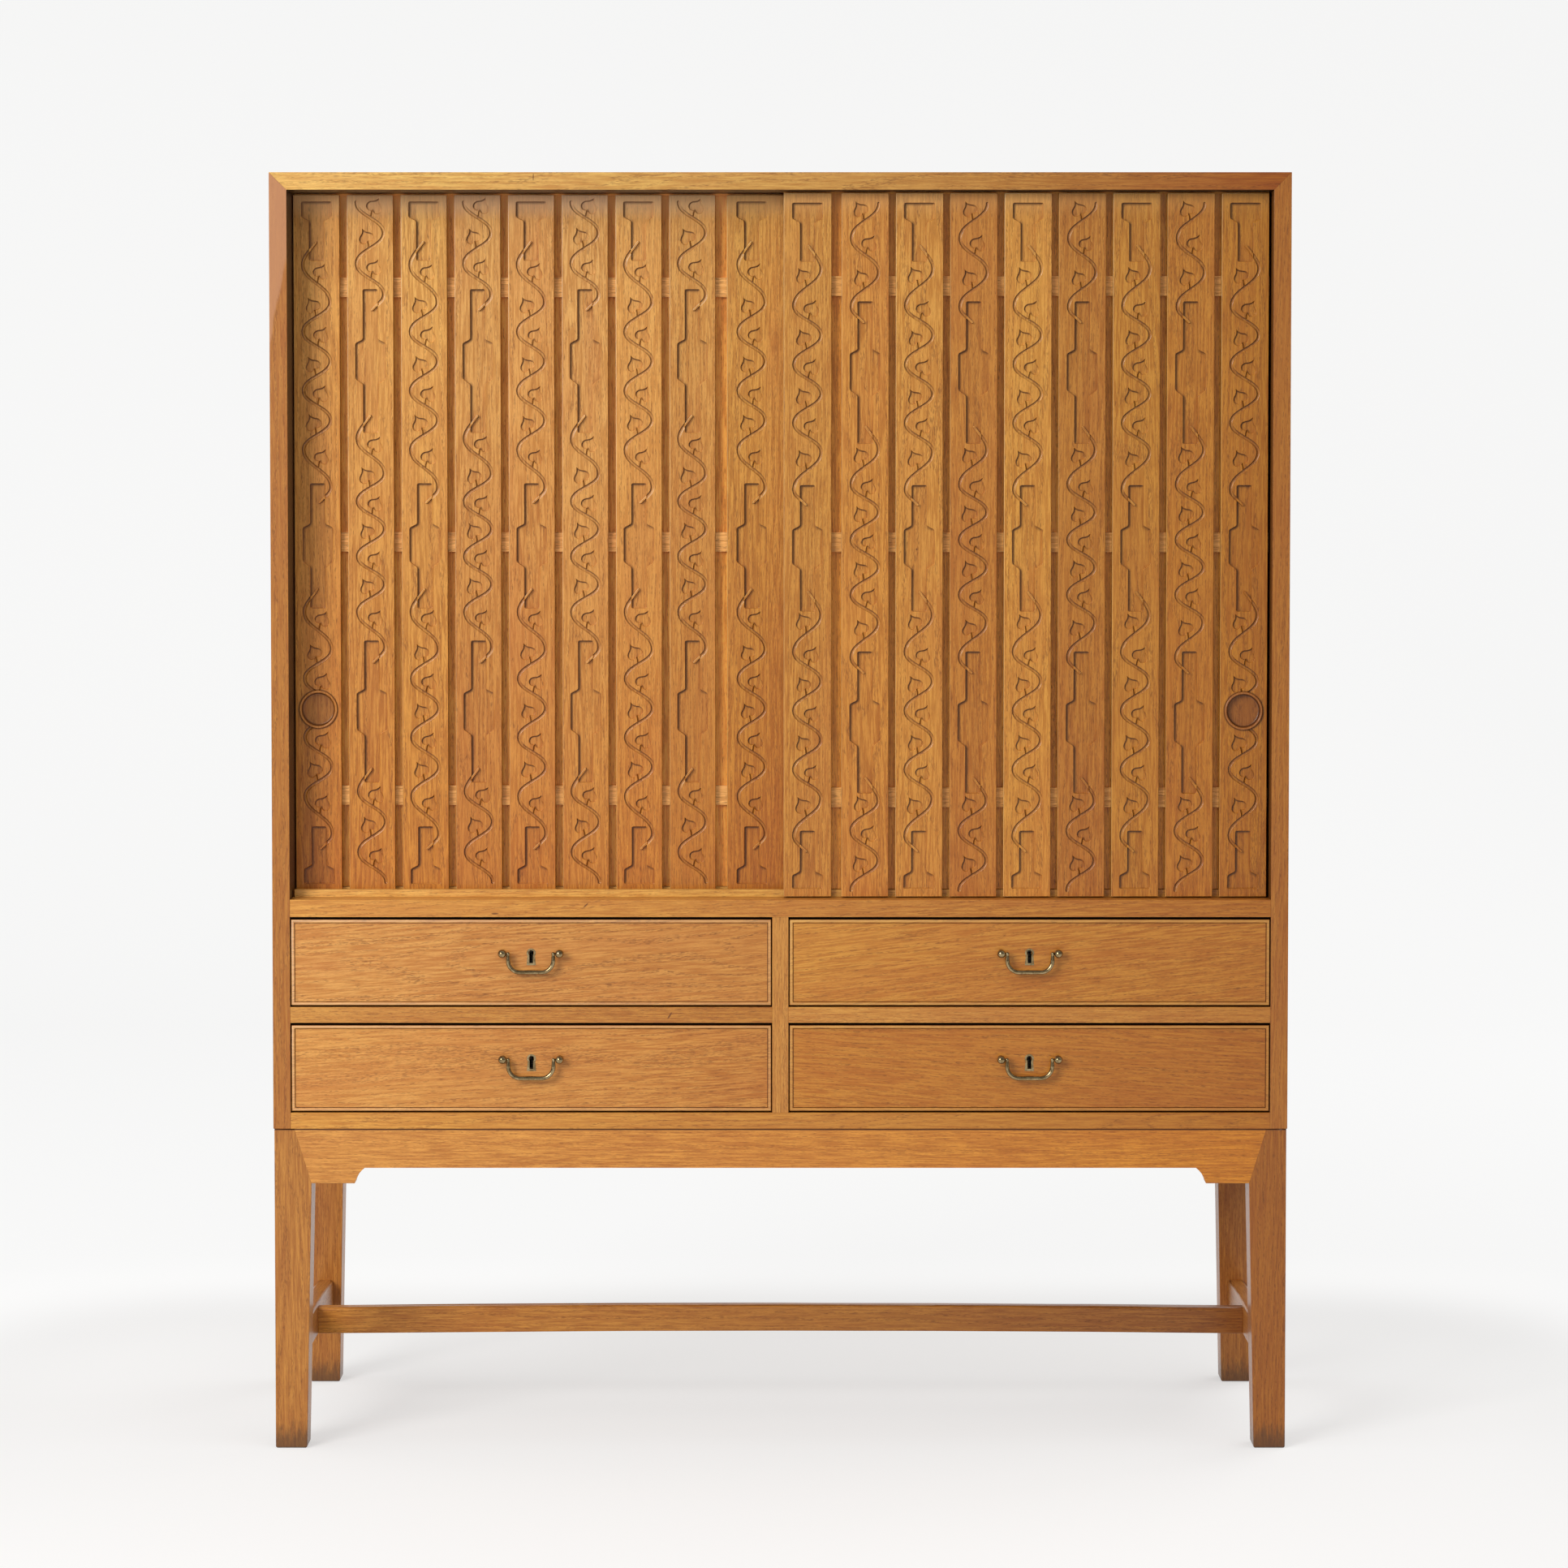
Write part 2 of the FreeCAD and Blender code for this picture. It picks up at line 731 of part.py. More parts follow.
def make_lock(name, centre_x, key_z, front_top):
    """A cut lock let into the back of the front, with its key well."""
    lock_front = front + s.front_thickness - s.lock_thickness
    low = key_z - s.lock_below_key
    case = box(name + "_lock_case", (centre_x - s.lock_width / 2, lock_front, low),
               (s.lock_width, s.lock_thickness, front_top - low))
    pin_well = rod(name + "_key_well", (centre_x, lock_front, key_z), "y",
                   s.key_hole_radius, s.key_well_depth)
    slot_well = box(name + "_key_well_slot",
                    (centre_x - s.key_slot_width / 2, lock_front, key_z - s.key_slot_drop),
                    (s.key_slot_width, s.key_well_depth, s.key_slot_drop))
    keep(name + "_lock", cut(name + "_lock", case, pin_well, slot_well))
    return case


def make_posts(name, centre_x, pivot_z):
    """Two ball posts through the front, each with a rose and a square nut."""
    posts = []
    bores = []
    panel = front + s.panel_sink
    ball_y = front - s.ball_stand_off
    nut_y = front + s.front_thickness
    for side, sign in (("left", -1), ("right", 1)):
        x = centre_x + sign * s.ball_spacing / 2
        label = "%s_%s_post" % (name, side)
        stem = rod(label + "_stem", (x, ball_y, pivot_z), "y", s.post_radius,
                   s.ball_stand_off + s.front_thickness)
        rose = rod(label + "_rose", (x, panel - s.rose_thickness, pivot_z), "y",
                   s.rose_radius, s.rose_thickness)
        nut = box(label + "_nut",
                  (x - s.nut_width / 2, nut_y, pivot_z - s.nut_width / 2),
                  (s.nut_width, s.nut_thickness, s.nut_width))
        knob = ball(label + "_ball", (x, ball_y, pivot_z), s.ball_radius)
        solid = fuse(label + "_solid", stem, rose, nut, knob)
        socket_x = x if sign < 0 else x - s.ball_radius
        socket = rod(label + "_socket", (socket_x, ball_y, pivot_z), "x",
                     s.bail_pin_radius + s.pin_clearance, s.ball_radius)
        posts.append(cut(label, solid, socket))
        bores.append(rod(label + "_bore", (x, panel, pivot_z), "y", s.post_radius,
                         s.front_thickness - s.panel_sink))
    keep(name + "_handle_posts", group(name + "_handle_posts", *posts))
    return bores


def bail_wire(centre_x, pivot_z):
    """The bail without its knuckles: two tapered legs, and a rod bent at both corners."""
    leg = s.bail_leg_spacing.value / 2
    drop = s.bail_drop.value
    radius = s.bail_corner_radius.value
    thin, thick = s.bail_end_radius.value, s.bail_grip_radius.value
    y = (front - s.ball_stand_off).value
    up = FreeCAD.Vector(0, 0, 1)
    diagonal = radius * (1 - math.sqrt(0.5))
    taper = drop - radius

    def at(x, down):
        return FreeCAD.Vector(centre_x.value + x, y, pivot_z.value - down)

    bend = Part.Wire([
        Part.Arc(at(-leg, taper), at(-leg + diagonal, drop - diagonal),
                 at(-leg + radius, drop)).toShape(),
        Part.LineSegment(at(-leg + radius, drop), at(leg - radius, drop)).toShape(),
        Part.Arc(at(leg - radius, drop), at(leg - diagonal, drop - diagonal),
                 at(leg, taper)).toShape()])
    rod_end = Part.Face(Part.Wire(Part.Circle(at(-leg, taper), up, thick).toShape()))
    legs = [Part.makeCone(thick, thin, taper, at(x, taper), up) for x in (-leg, leg)]
    return bend.makePipe(rod_end).fuse(legs).removeSplitter()


def make_bail(name, centre_x, pivot_z):
    """The swinging bail: its wire, two knuckles and the pins in the balls."""
    wire = doc.addObject("Part::Feature", name + "_wire")
    wire.Shape = bail_wire(centre_x, pivot_z)
    y = front - s.ball_stand_off
    pieces = [wire]
    clear = s.bail_pin_reach
    for side, sign in (("left", -1), ("right", 1)):
        x = centre_x + sign * s.bail_leg_spacing / 2
        pieces.append(ball("%s_%s_knuckle" % (name, side), (x, y, pivot_z), s.knuckle_radius))
        reach = (s.ball_spacing - s.bail_leg_spacing) / 2 - s.ball_radius + clear
        start = x - reach if sign < 0 else x
        pieces.append(rod("%s_%s_pin" % (name, side), (start, y, pivot_z), "x",
                          s.bail_pin_radius, reach))
    keep(name + "_bail", fuse(name + "_bail", *pieces))


def make_drawer(name, bay_left, opening_foot):
    """One drawer: front, dovetailed box, bottom, lock, keyhole and handle."""
    bay = case_inner - s.divider_thickness / 2
    left = bay_left + s.front_side_gap
    width = bay - 2 * s.front_side_gap
    foot = opening_foot + s.front_foot_gap
    height = s.drawer_opening - s.front_foot_gap - s.front_head_gap
    box_foot = opening_foot + s.slide_clearance
    centre_x = left + width / 2
    pivot_z = foot + height / 2 + s.handle_rise
    shoulder = front + s.front_thickness
    inner_left = left + s.drawer_side_thickness
    inner_width = width - 2 * s.drawer_side_thickness
    panel_foot = box_foot + s.drawer_bottom_rise
    panel_top = panel_foot + s.drawer_bottom_thickness
    back_start = drawer_back - s.drawer_side_thickness - s.drawer_back_inset
    outline = side_outline(box_foot)
    sides = [
        profile(name + "_side_left", "YZ_Plane", outline, left, s.drawer_side_thickness),
        profile(name + "_side_right", "YZ_Plane", outline,
                left + width - s.drawer_side_thickness, s.drawer_side_thickness),
    ]
    panel = box(name + "_bottom",
                (inner_left - s.groove_bite, shoulder - s.groove_bite, panel_foot),
                (inner_width + 2 * s.groove_bite,
                 back_start + s.drawer_side_thickness + s.groove_bite - shoulder,
                 s.drawer_bottom_thickness))
    keep(name + "_bottom", panel)
    back = box(name + "_back", (inner_left, back_start, panel_top),
               (inner_width, s.drawer_side_thickness,
                box_foot + s.drawer_side_height - panel_top))
    grooved = [cut("%s_grooved_%d" % (name, number), side, panel)
               for number, side in enumerate(sides)]
    keep(name + "_box", group(name + "_box", *grooved, back))
    plate = make_keyhole(name, centre_x, pivot_z)
    lock = make_lock(name, centre_x, pivot_z, foot + height)
    way = box(name + "_key_way",
              (centre_x - s.key_slot_width / 2, front + s.panel_sink + s.key_plate_depth,
               pivot_z - s.key_slot_drop),
              (s.key_slot_width,
               s.front_thickness - s.lock_thickness - s.panel_sink - s.key_plate_depth,
               s.key_slot_drop + s.key_hole_radius))
    bores = make_posts(name, centre_x, pivot_z)
    make_front(name, left, width, foot, height, sides + [panel, plate, lock, way] + bores)
    make_bail(name, centre_x, pivot_z)


def make_drawers():
    for side, bay_left in (("left", -case_inner), ("right", s.divider_thickness / 2)):
        make_drawer("upper_%s_drawer" % side, bay_left, rail_top)
        make_drawer("lower_%s_drawer" % side, bay_left, bottom_top)


# Stand.
def leg_blank(name):
    """The front left leg: outer faces plumb, inner faces tapering to the foot."""
    left = -stand_side
    body = doc.addObject("PartDesign::Body", name)

    def square(width):
        return [(left, stand_front), (left + width, stand_front),
                (left + width, stand_front + width), (left, stand_front + width)]

    foot = add_sketch(body, name + "_foot", "XY_Plane", square(s.foot_width))
    shoulder = add_sketch(body, name + "_shoulder", "XY_Plane", square(s.leg_width),
                          lift=shoulder_height)
    taper = body.newObject("PartDesign::AdditiveLoft", name + "_taper")
    taper.Profile = foot
    taper.Sections = [shoulder]
    taper.Ruled = True
    head = body.newObject("PartDesign::Pad", name + "_head")
    head.Profile = shoulder
    head.setExpression("Length", s.bracket_drop.formula)
    dress(body, "Chamfer", s.foot_chamfer, lambda edge: near(edge.BoundBox.ZMax, 0))
    dress(body, "Fillet", s.case_edge_round, lambda edge: (
        near(edge.BoundBox.ZMin, s.base_height)
        and (near(middle(edge).x, left) or near(middle(edge).y, stand_front))))
    return body


def apron_outline(half_span):
    """An apron with slanted ends and a bracket at each end, half_span from its middle."""
    top = s.base_height
    low = shoulder_height
    bottom = s.base_height - s.apron_drop
    head = half_span - s.leg_head_width
    ear = half_span - s.leg_width
    tip = ear - s.bracket_reach
    arch = tip - s.bracket_run
    return [(-head, top), (-ear, low), (-tip, low), (-arch, bottom),
            (arch, bottom), (tip, low), (ear, low), (head, top)]


def make_aprons():
    half_depth = (stand_back - stand_front) / 2
    wide = apron_outline(stand_side)
    deep = [(middle_y + y, z) for y, z in apron_outline(half_depth)]
    bulge = {2: s.bracket_bow, 4: s.bracket_bow}
    front_apron = profile("apron_front", "XZ_Plane", wide, stand_front, s.apron_thickness,
                          bulge)
    dress(front_apron, "Fillet", s.case_edge_round, lambda edge: (
        near(middle(edge).z, s.base_height) and near(middle(edge).y, 0)))
    back_apron = mirror("apron_back", front_apron, (0, 1, 0), (0, middle_y, 0))
    left = profile("apron_left", "YZ_Plane", deep, -stand_side, s.apron_thickness, bulge)
    dress(left, "Fillet", s.case_edge_round, lambda edge: (
        near(middle(edge).z, s.base_height) and near(middle(edge).x, 0)))
    right = mirror("apron_right", left, (1, 0, 0))
    keep("apron_front", front_apron)
    keep("apron_back", back_apron)
    keep("apron_sides", group("apron_sides", left, right))
    return front_apron, left


def make_legs(front_apron, left_apron):
    """Four legs, each lapped for its two aprons."""
    blank = leg_blank("leg_blank")
    leg = keep("leg_front_left", cut("leg_front_left", blank, front_apron, left_apron))
    keep("leg_front_right", mirror("leg_front_right", leg, (1, 0, 0)))
    back = keep("leg_back_left", mirror("leg_back_left", leg, (0, 1, 0), (0, middle_y, 0)))
    keep("leg_back_right", mirror("leg_back_right", back, (1, 0, 0)))
    return leg, back


def make_stretchers(front_leg, back_leg):
    """Side stretchers between the legs and a cross stretcher at mid-depth."""
    low = s.stretcher_bottom
    top = low + s.stretcher_height
    start = stand_front + s.foot_width / 2
    end = stand_back - s.foot_width / 2
    side_blank = profile("side_stretcher_blank", "YZ_Plane",
                         [(start, low), (end, low), (end, top), (start, top)],
                         -stand_side + s.stretcher_setback, s.stretcher_thickness,
                         {2: -s.side_stretcher_rise})
    dress(side_blank, "Fillet", s.stretcher_round, lambda edge: (
        middle(edge).z > top.value and edge.Length > s.leg_width.value))
    left = cut("side_stretcher_left", side_blank, front_leg, back_leg)
    keep("stretcher_sides", group("stretcher_sides", left,
                                  mirror("side_stretcher_right", left, (1, 0, 0))))
    reach = stand_side - s.stretcher_setback - s.stretcher_thickness
    cross = profile("stretcher_cross", "XZ_Plane",
                    [(-reach, low), (reach, low), (reach, top), (-reach, top)],
                    middle_y - s.stretcher_thickness / 2, s.stretcher_thickness,
                    {0: s.cross_stretcher_rise, 2: -s.cross_stretcher_rise})
    dress(cross, "Fillet", s.stretcher_round, lambda edge: (
        middle(edge).z > top.value and edge.Length > s.leg_width.value))
    keep("stretcher_cross", cross)


def screw_places():
    """Where the stand is screwed up into the case: (X, Y) of each screw."""
    reach_x = stand_side - s.apron_thickness - s.screw_inset
    places = []
    for sign in (-1, 1):
        for y in (stand_front + s.apron_thickness + s.screw_inset,
                  stand_back - s.apron_thickness - s.screw_inset):
            places.append((sign * reach_x, y))
    return places


def make_blocks(leg):
    """Corner blocks behind the aprons, with the screws that hold the case."""
    inner_x = -stand_side + s.apron_thickness
    inner_y = stand_front + s.apron_thickness
    low = s.base_height - s.block_height
    wedge = profile("block_wedge", "XY_Plane",
                    [(inner_x, inner_y), (inner_x + s.block_reach, inner_y),
                     (inner_x, inner_y + s.block_reach)], low, s.block_height)
    x, y = screw_places()[0]
    shank_hole = rod("block_hole", (x, y, low), "z", s.screw_radius, s.block_height)
    first = cut("corner_block_0", wedge, leg, shank_hole)
    shank = rod("screw_shank", (x, y, low), "z", s.screw_radius,
                s.block_height + s.screw_bite)
    head = rod("screw_head", (x, y, low - s.screw_head_height), "z", s.screw_head_radius,
               s.screw_head_height)
    screw = fuse("base_screw_0", shank, head)
    for label, piece in (("corner_blocks", first), ("base_screws", screw)):
        right = mirror(label + "_1", piece, (1, 0, 0))
        back = mirror(label + "_2", piece, (0, 1, 0), (0, middle_y, 0))
        far = mirror(label + "_3", back, (1, 0, 0))
        keep(label, group(label, piece, right, back, far))


def check_model():
    """Stop if any object failed or any node has no sound shape."""
    doc.recompute()
    for item in doc.Objects:
        if "Invalid" in item.State or "Error" in item.State:
            raise RuntimeError("failed object: %s" % item.Label)
    for label, item in nodes.items():
        shape = item.Shape
        if shape.isNull() or not shape.isValid() or not shape.Solids:
            raise RuntimeError("bad shape: %s" % label)


make_case()
make_cupboard()
make_runners()
make_doors()
make_drawers()
front_apron, left_apron = make_aprons()
front_leg, back_leg = make_legs(front_apron, left_apron)
make_stretchers(front_leg, back_leg)
make_blocks(front_leg)
check_model()
os.makedirs("parts", exist_ok=True)
for label, item in nodes.items():
    item.Shape.exportStep("parts/%s.step" % label)
print("%d nodes written" % len(nodes))
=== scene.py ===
import json
import math
import random

import bmesh
import bpy
import numpy as np
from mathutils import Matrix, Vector
from mathutils.geometry import delaunay_2d_cdt


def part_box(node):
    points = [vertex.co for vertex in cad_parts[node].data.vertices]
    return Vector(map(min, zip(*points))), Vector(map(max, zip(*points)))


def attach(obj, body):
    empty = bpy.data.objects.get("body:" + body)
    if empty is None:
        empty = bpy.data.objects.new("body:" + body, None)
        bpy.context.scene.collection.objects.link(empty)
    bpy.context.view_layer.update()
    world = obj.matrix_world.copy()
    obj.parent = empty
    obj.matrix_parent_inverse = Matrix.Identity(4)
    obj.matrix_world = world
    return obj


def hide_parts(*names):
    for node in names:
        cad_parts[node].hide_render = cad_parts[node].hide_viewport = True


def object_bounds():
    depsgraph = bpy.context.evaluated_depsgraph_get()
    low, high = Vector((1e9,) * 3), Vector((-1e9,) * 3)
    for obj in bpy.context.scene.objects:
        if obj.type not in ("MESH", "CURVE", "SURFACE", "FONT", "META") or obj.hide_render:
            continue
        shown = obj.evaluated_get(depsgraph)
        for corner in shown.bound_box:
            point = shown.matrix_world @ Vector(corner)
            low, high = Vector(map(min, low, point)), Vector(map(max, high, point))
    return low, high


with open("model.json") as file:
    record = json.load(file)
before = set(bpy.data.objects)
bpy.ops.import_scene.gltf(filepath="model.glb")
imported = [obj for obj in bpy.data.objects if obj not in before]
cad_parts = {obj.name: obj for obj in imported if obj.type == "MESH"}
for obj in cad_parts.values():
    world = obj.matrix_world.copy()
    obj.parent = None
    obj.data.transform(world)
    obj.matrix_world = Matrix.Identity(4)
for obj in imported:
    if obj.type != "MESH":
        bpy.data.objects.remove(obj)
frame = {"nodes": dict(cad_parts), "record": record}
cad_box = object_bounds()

# Oak cabinet: the looks of every board, the carving of the door slats, the turned finger cups,
# the old brass, and a pale studio. Plain lengths are millimetres and become metres by MM.
MM = 0.001
SLOTS = {part["node"]: part["material_slot"] for part in frame["record"]["subparts"]}
BODIES = {node: body for body, nodes in frame["record"]["behaviour"]["bodies"].items()
          for node in nodes}


def srgb(red, green, blue):
    """A display colour, 0 to 255, as shaders want it."""
    shares = [value / 255 for value in (red, green, blue)]
    return tuple(v / 12.92 if v <= 0.04045 else ((v + 0.055) / 1.055) ** 2.4
                 for v in shares) + (1.0,)


# Materials
class Shader:
    """A material or world in the making: each call adds nodes and returns what they give."""

    def __init__(self, owner):
        self.owner = owner
        owner.use_nodes = True
        self.tree = owner.node_tree
        self.tree.nodes.clear()

    def node(self, kind, inputs=(), **settings):
        """A new node, its inputs given by name or number as values or other nodes' outputs."""
        made = self.tree.nodes.new("ShaderNode" + kind)
        for name, value in settings.items():
            setattr(made, name, value)
        for name, value in dict(inputs).items():
            if isinstance(value, bpy.types.NodeSocket):
                self.tree.links.new(value, made.inputs[name])
            else:
                made.inputs[name].default_value = value
        return made

    def sum(self, operation, first, second=0.0):
        return self.node("Math", {0: first, 1: second}, operation=operation).outputs[0]

    def times(self, value, by):
        return self.sum("MULTIPLY", value, by)

    def scaled(self, vector, by):
        return self.node("VectorMath", {0: vector, 1: by}, operation="MULTIPLY").outputs[0]

    def noise(self, vector, often, detail=2, roughness=0.5):
        """Noise from 0 to 1 that changes this often in a metre, along each axis."""
        made = self.node("TexNoise", {"Vector": self.scaled(vector, often), "Scale": 1.0,
                                      "Detail": detail, "Roughness": roughness})
        return made.outputs["Fac"]

    def about_zero(self, noise, reach):
        """Noise made to lie about zero, half the reach to either side."""
        return self.times(self.sum("SUBTRACT", noise, 0.5), reach)

    def ramp(self, value, low, high, to_low=0.0, to_high=1.0):
        return self.node("MapRange", {
            "Value": value, "From Min": low, "From Max": high, "To Min": to_low,
            "To Max": to_high}, interpolation_type="SMOOTHSTEP").outputs[0]

    def mix(self, share, first, second, blend="MIX"):
        return self.node("Mix", {0: share, 6: first, 7: second}, data_type="RGBA",
                         blend_type=blend).outputs[2]

    def attribute(self, name, output="Fac"):
        return self.node("Attribute", attribute_name=name).outputs[output]

    def split(self, vector):
        """The X, Y and Z of a vector."""
        return self.node("SeparateXYZ", {"Vector": vector}).outputs

    def place(self):
        """Where the point is in the piece's own metres."""
        return self.node("TexCoord").outputs["Object"]

    def surface(self, shader, output="OutputMaterial"):
        self.node(output, {"Surface": shader})
        return self.owner


STAND_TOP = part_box("apron_front")[1][2]
SLAT_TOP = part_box("left_door_slats")[1][2]
PORE_BROWN = srgb(118, 66, 24)
DIRT_AND_SHADE_BROWN = srgb(78, 40, 14)
MARK_BROWN = srgb(96, 48, 16)
PAINTED_SHADE_BROWN = srgb(44, 18, 4)
SCUFF_BROWN = srgb(70, 46, 26)
PAINTED_HIGHLIGHT_PALE = srgb(246, 214, 176)
PAINTED_TOP_LIGHT_PALE = srgb(240, 178, 128)
HEARTWOOD = srgb(188, 131, 90)

# How often each figure in the wood changes in a metre: across the board, into it and along it.
SWAYS = (14, 14, 3.2)
RIPPLES = (120, 120, 14)
FINE_PORES = (1300, 1300, 170)
COARSE_PORES = (700, 700, 110)
FIBRES = (430, 430, 24)
STREAKS = (210, 210, 5)
BLOTCHES = (26, 26, 5)
CLOUDS = (9, 9, 2.2)
SCUFFS = (260, 260, 60)
RINGS = 400
RING_CHANGES = 160
RING_UNEVENNESS = 2.4
SWAY_REACH = 16 * MM
RIPPLE_REACH = 1.6 * MM
SCUFF_REACH = 50 * MM
HEARTWOOD_SLANT = -4.8
HEARTWOOD_END = (1390 * MM, 1410 * MM)
PAINTED_LIGHT_BELOW_TOP = (34 * MM, 2 * MM)
SEAM_BELOW_TOP = (2.4 * MM, 1.2 * MM)
FOOT_WEAR = (40 * MM, 4 * MM)
PAINTED_SHADE_FROM = (-140 * MM, -155 * MM)


def growth_ring(s, grain, ripple):
    """How far the point is through its growth ring, from 0 to 1.

    The rings lie about the pith, which is the axis of the grain coordinates.
    """
    sway = s.noise(grain, SWAYS)
    bend = s.sum("ADD", s.about_zero(sway, SWAY_REACH), s.about_zero(ripple, RIPPLE_REACH))
    place = s.split(grain)
    across = s.sum("POWER", s.sum("ADD", place["X"], bend), 2.0)
    depth = s.sum("POWER", s.sum("ADD", place["Y"], bend), 2.0)
    radius = s.sum("SQRT", s.sum("ADD", across, depth))
    uneven = s.node("TexNoise", {"W": s.times(radius, RING_CHANGES), "Scale": 1.0, "Detail": 1.0},
                    noise_dimensions="1D").outputs["Fac"]
    turns = s.sum("ADD", s.times(radius, RINGS), s.times(uneven, RING_UNEVENNESS))
    return s.sum("FRACT", turns)


def oak(name, light, dark, red, gloss=0.42, even=0.19, worn_stand=False, heartwood=False,
        painted_shade_side=None, painted_top_light=False, marks=()):
    """Oiled oak, drawn in each board's own grain coordinates: across, depth and along.

    The carving attribute above zero darkens hollows as painted shade; below zero it gives a pale
    painted highlight.
    """
    s = Shader(bpy.data.materials.new(name))
    grain = s.attribute("grain", "Vector")
    shade_and_highlight = s.attribute("shade_and_highlight")
    ripple = s.noise(grain, RIPPLES)
    ring = growth_ring(s, grain, ripple)
    early = s.ramp(ring, 0.5, 0.05)
    late_line = s.ramp(ring, 0.78, 0.98)

    # pores as dark dashes in the early wood, and fibres everywhere
    fine = s.noise(grain, FINE_PORES, detail=1)
    coarse = s.noise(grain, COARSE_PORES)
    fibre = s.noise(grain, FIBRES, detail=3, roughness=0.58)
    streak = s.noise(grain, STREAKS, detail=3, roughness=0.55)
    blotch = s.noise(grain, BLOTCHES, detail=3)
    cloud = s.noise(grain, CLOUDS)
    reach = s.sum("ADD", s.times(early, 0.75), 0.25)
    pores = s.times(s.ramp(fine, 0.5, 0.66), reach)
    dashes = s.times(s.ramp(coarse, 0.5, 0.66), reach)

    colour = s.mix(s.ramp(fibre, 0.5 - even, 0.5 + even), light, dark)
    colour = s.mix(s.times(s.ramp(streak, 0.42, 0.62), 0.2), colour, dark)
    colour = s.mix(s.times(late_line, 0.25), colour, dark)
    colour = s.mix(s.times(s.ramp(blotch, 0.4, 0.75), 0.35), colour, red)
    colour = s.mix(s.times(s.ramp(cloud, 0.35, 0.7), 0.25), colour, light)
    colour = s.mix(s.attribute("warm"), colour, red)
    colour = s.mix(s.times(dashes, 0.45), colour, PORE_BROWN)
    colour = s.mix(s.times(pores, 0.56), colour, PORE_BROWN)
    # painted light: the slats' upper ends lightened against the shade under the top board
    if painted_top_light:
        colour = s.mix(slat_painted_light(s), colour, PAINTED_TOP_LIGHT_PALE)
    # painted shade in the hollows from the carving attribute, then its pale painted highlight
    colour = s.mix(s.times(shade_and_highlight, 0.85), colour, DIRT_AND_SHADE_BROWN)
    colour = s.mix(s.times(shade_and_highlight, -0.6), colour, PAINTED_HIGHLIGHT_PALE)
    colour = s.mix(1.0, colour, s.attribute("tone", "Vector"), "MULTIPLY")
    if heartwood:
        colour = s.mix(heartwood_streak(s, ripple), colour, HEARTWOOD)
    # painted shade on inner and lower faces in front of the doors
    if painted_shade_side:
        colour = s.mix(painted_inner_shade(s, *painted_shade_side), colour, PAINTED_SHADE_BROWN)
    for mark in marks:
        colour = s.mix(small_mark(s, *mark), colour, MARK_BROWN)
    if worn_stand:
        seam, foot = stand_wear(s, grain)
        colour = s.mix(seam, colour, DIRT_AND_SHADE_BROWN)
        colour = s.mix(foot, colour, SCUFF_BROWN)

    rough = s.sum("ADD", s.ramp(blotch, 0.2, 0.8, gloss - 0.05, gloss + 0.06),
                  s.times(pores, 0.2))
    hollows = s.sum("ADD", s.times(pores, 0.5), s.times(dashes, 0.6))
    relief = s.sum("SUBTRACT", s.times(fibre, 0.25), hollows)
    bump = s.node("Bump", {"Height": relief, "Strength": 0.35, "Distance": 0.2 * MM})
    wood = s.node("BsdfPrincipled", {
        "Base Color": colour, "Roughness": rough, "Normal": bump.outputs["Normal"],
        "Specular IOR Level": 0.3, "Coat Weight": 0.35, "Coat Roughness": 0.2})
    return s.surface(wood.outputs[0])


def slat_painted_light(s):
    """Painted light on the slats' upper ends, against the shade under the top board, the left
    door's the most.
    """
    place = s.split(s.place())
    most = s.ramp(place["X"], 1 * MM, -1 * MM, 0.32, 0.6)
    start, full = PAINTED_LIGHT_BELOW_TOP
    return s.times(most, s.ramp(place["Z"], SLAT_TOP - start, SLAT_TOP - full))


def heartwood_streak(s, ripple):
    """Where the pink heartwood shows: the top of the left side, ending in a slanted edge."""
    place = s.split(s.place())
    slant = s.times(s.sum("ADD", place["X"], -cad_box[0][0]), HEARTWOOD_SLANT)
    height = s.sum("ADD", s.sum("ADD", place["Z"], slant), s.about_zero(ripple, 50 * MM))
    return s.ramp(height, *HEARTWOOD_END, 0.0, 0.75)


def stand_wear(s, grain):
    """Where the seam under the case is dirty, and where the feet are scuffed."""
    height = s.split(s.place())["Z"]
    low, high = (STAND_TOP - below for below in SEAM_BELOW_TOP)
    scuff = s.noise(grain, SCUFFS, detail=4, roughness=0.65)
    edge = s.sum("ADD", height, s.about_zero(scuff, SCUFF_REACH))
    return s.ramp(height, low, high, 0.0, 0.9), s.ramp(edge, *FOOT_WEAR, 0.0, 0.72)


def small_mark(s, across, height, half_length, half_width, turn):
    """One small dent or spot on the front: an oval, in millimetres and degrees."""
    spot = s.node("Mapping", {
        "Vector": s.place(), "Location": (across * MM, 0.0, height * MM),
        "Rotation": (0.0, math.radians(-turn), 0.0),
        "Scale": (half_length * MM, 1.0, half_width * MM)}, vector_type="TEXTURE")
    flat = s.scaled(spot.outputs["Vector"], (1, 0, 1))
    away = s.node("VectorMath", {0: flat}, operation="LENGTH").outputs["Value"]
    return s.ramp(away, 1.0, 0.45, 0.0, 0.8)


def painted_inner_shade(s, axis, side, most):
    """Painted shade on the face that looks inwards or down, in front of the doors, where little
    light reaches.
    """
    facing = s.split(s.node("TexCoord").outputs["Normal"])[axis]
    turned = s.ramp(s.times(facing, side), 0.35, 0.75)
    return s.times(turned, s.ramp(s.split(s.place())["Y"], *PAINTED_SHADE_FROM, 0.0, most))


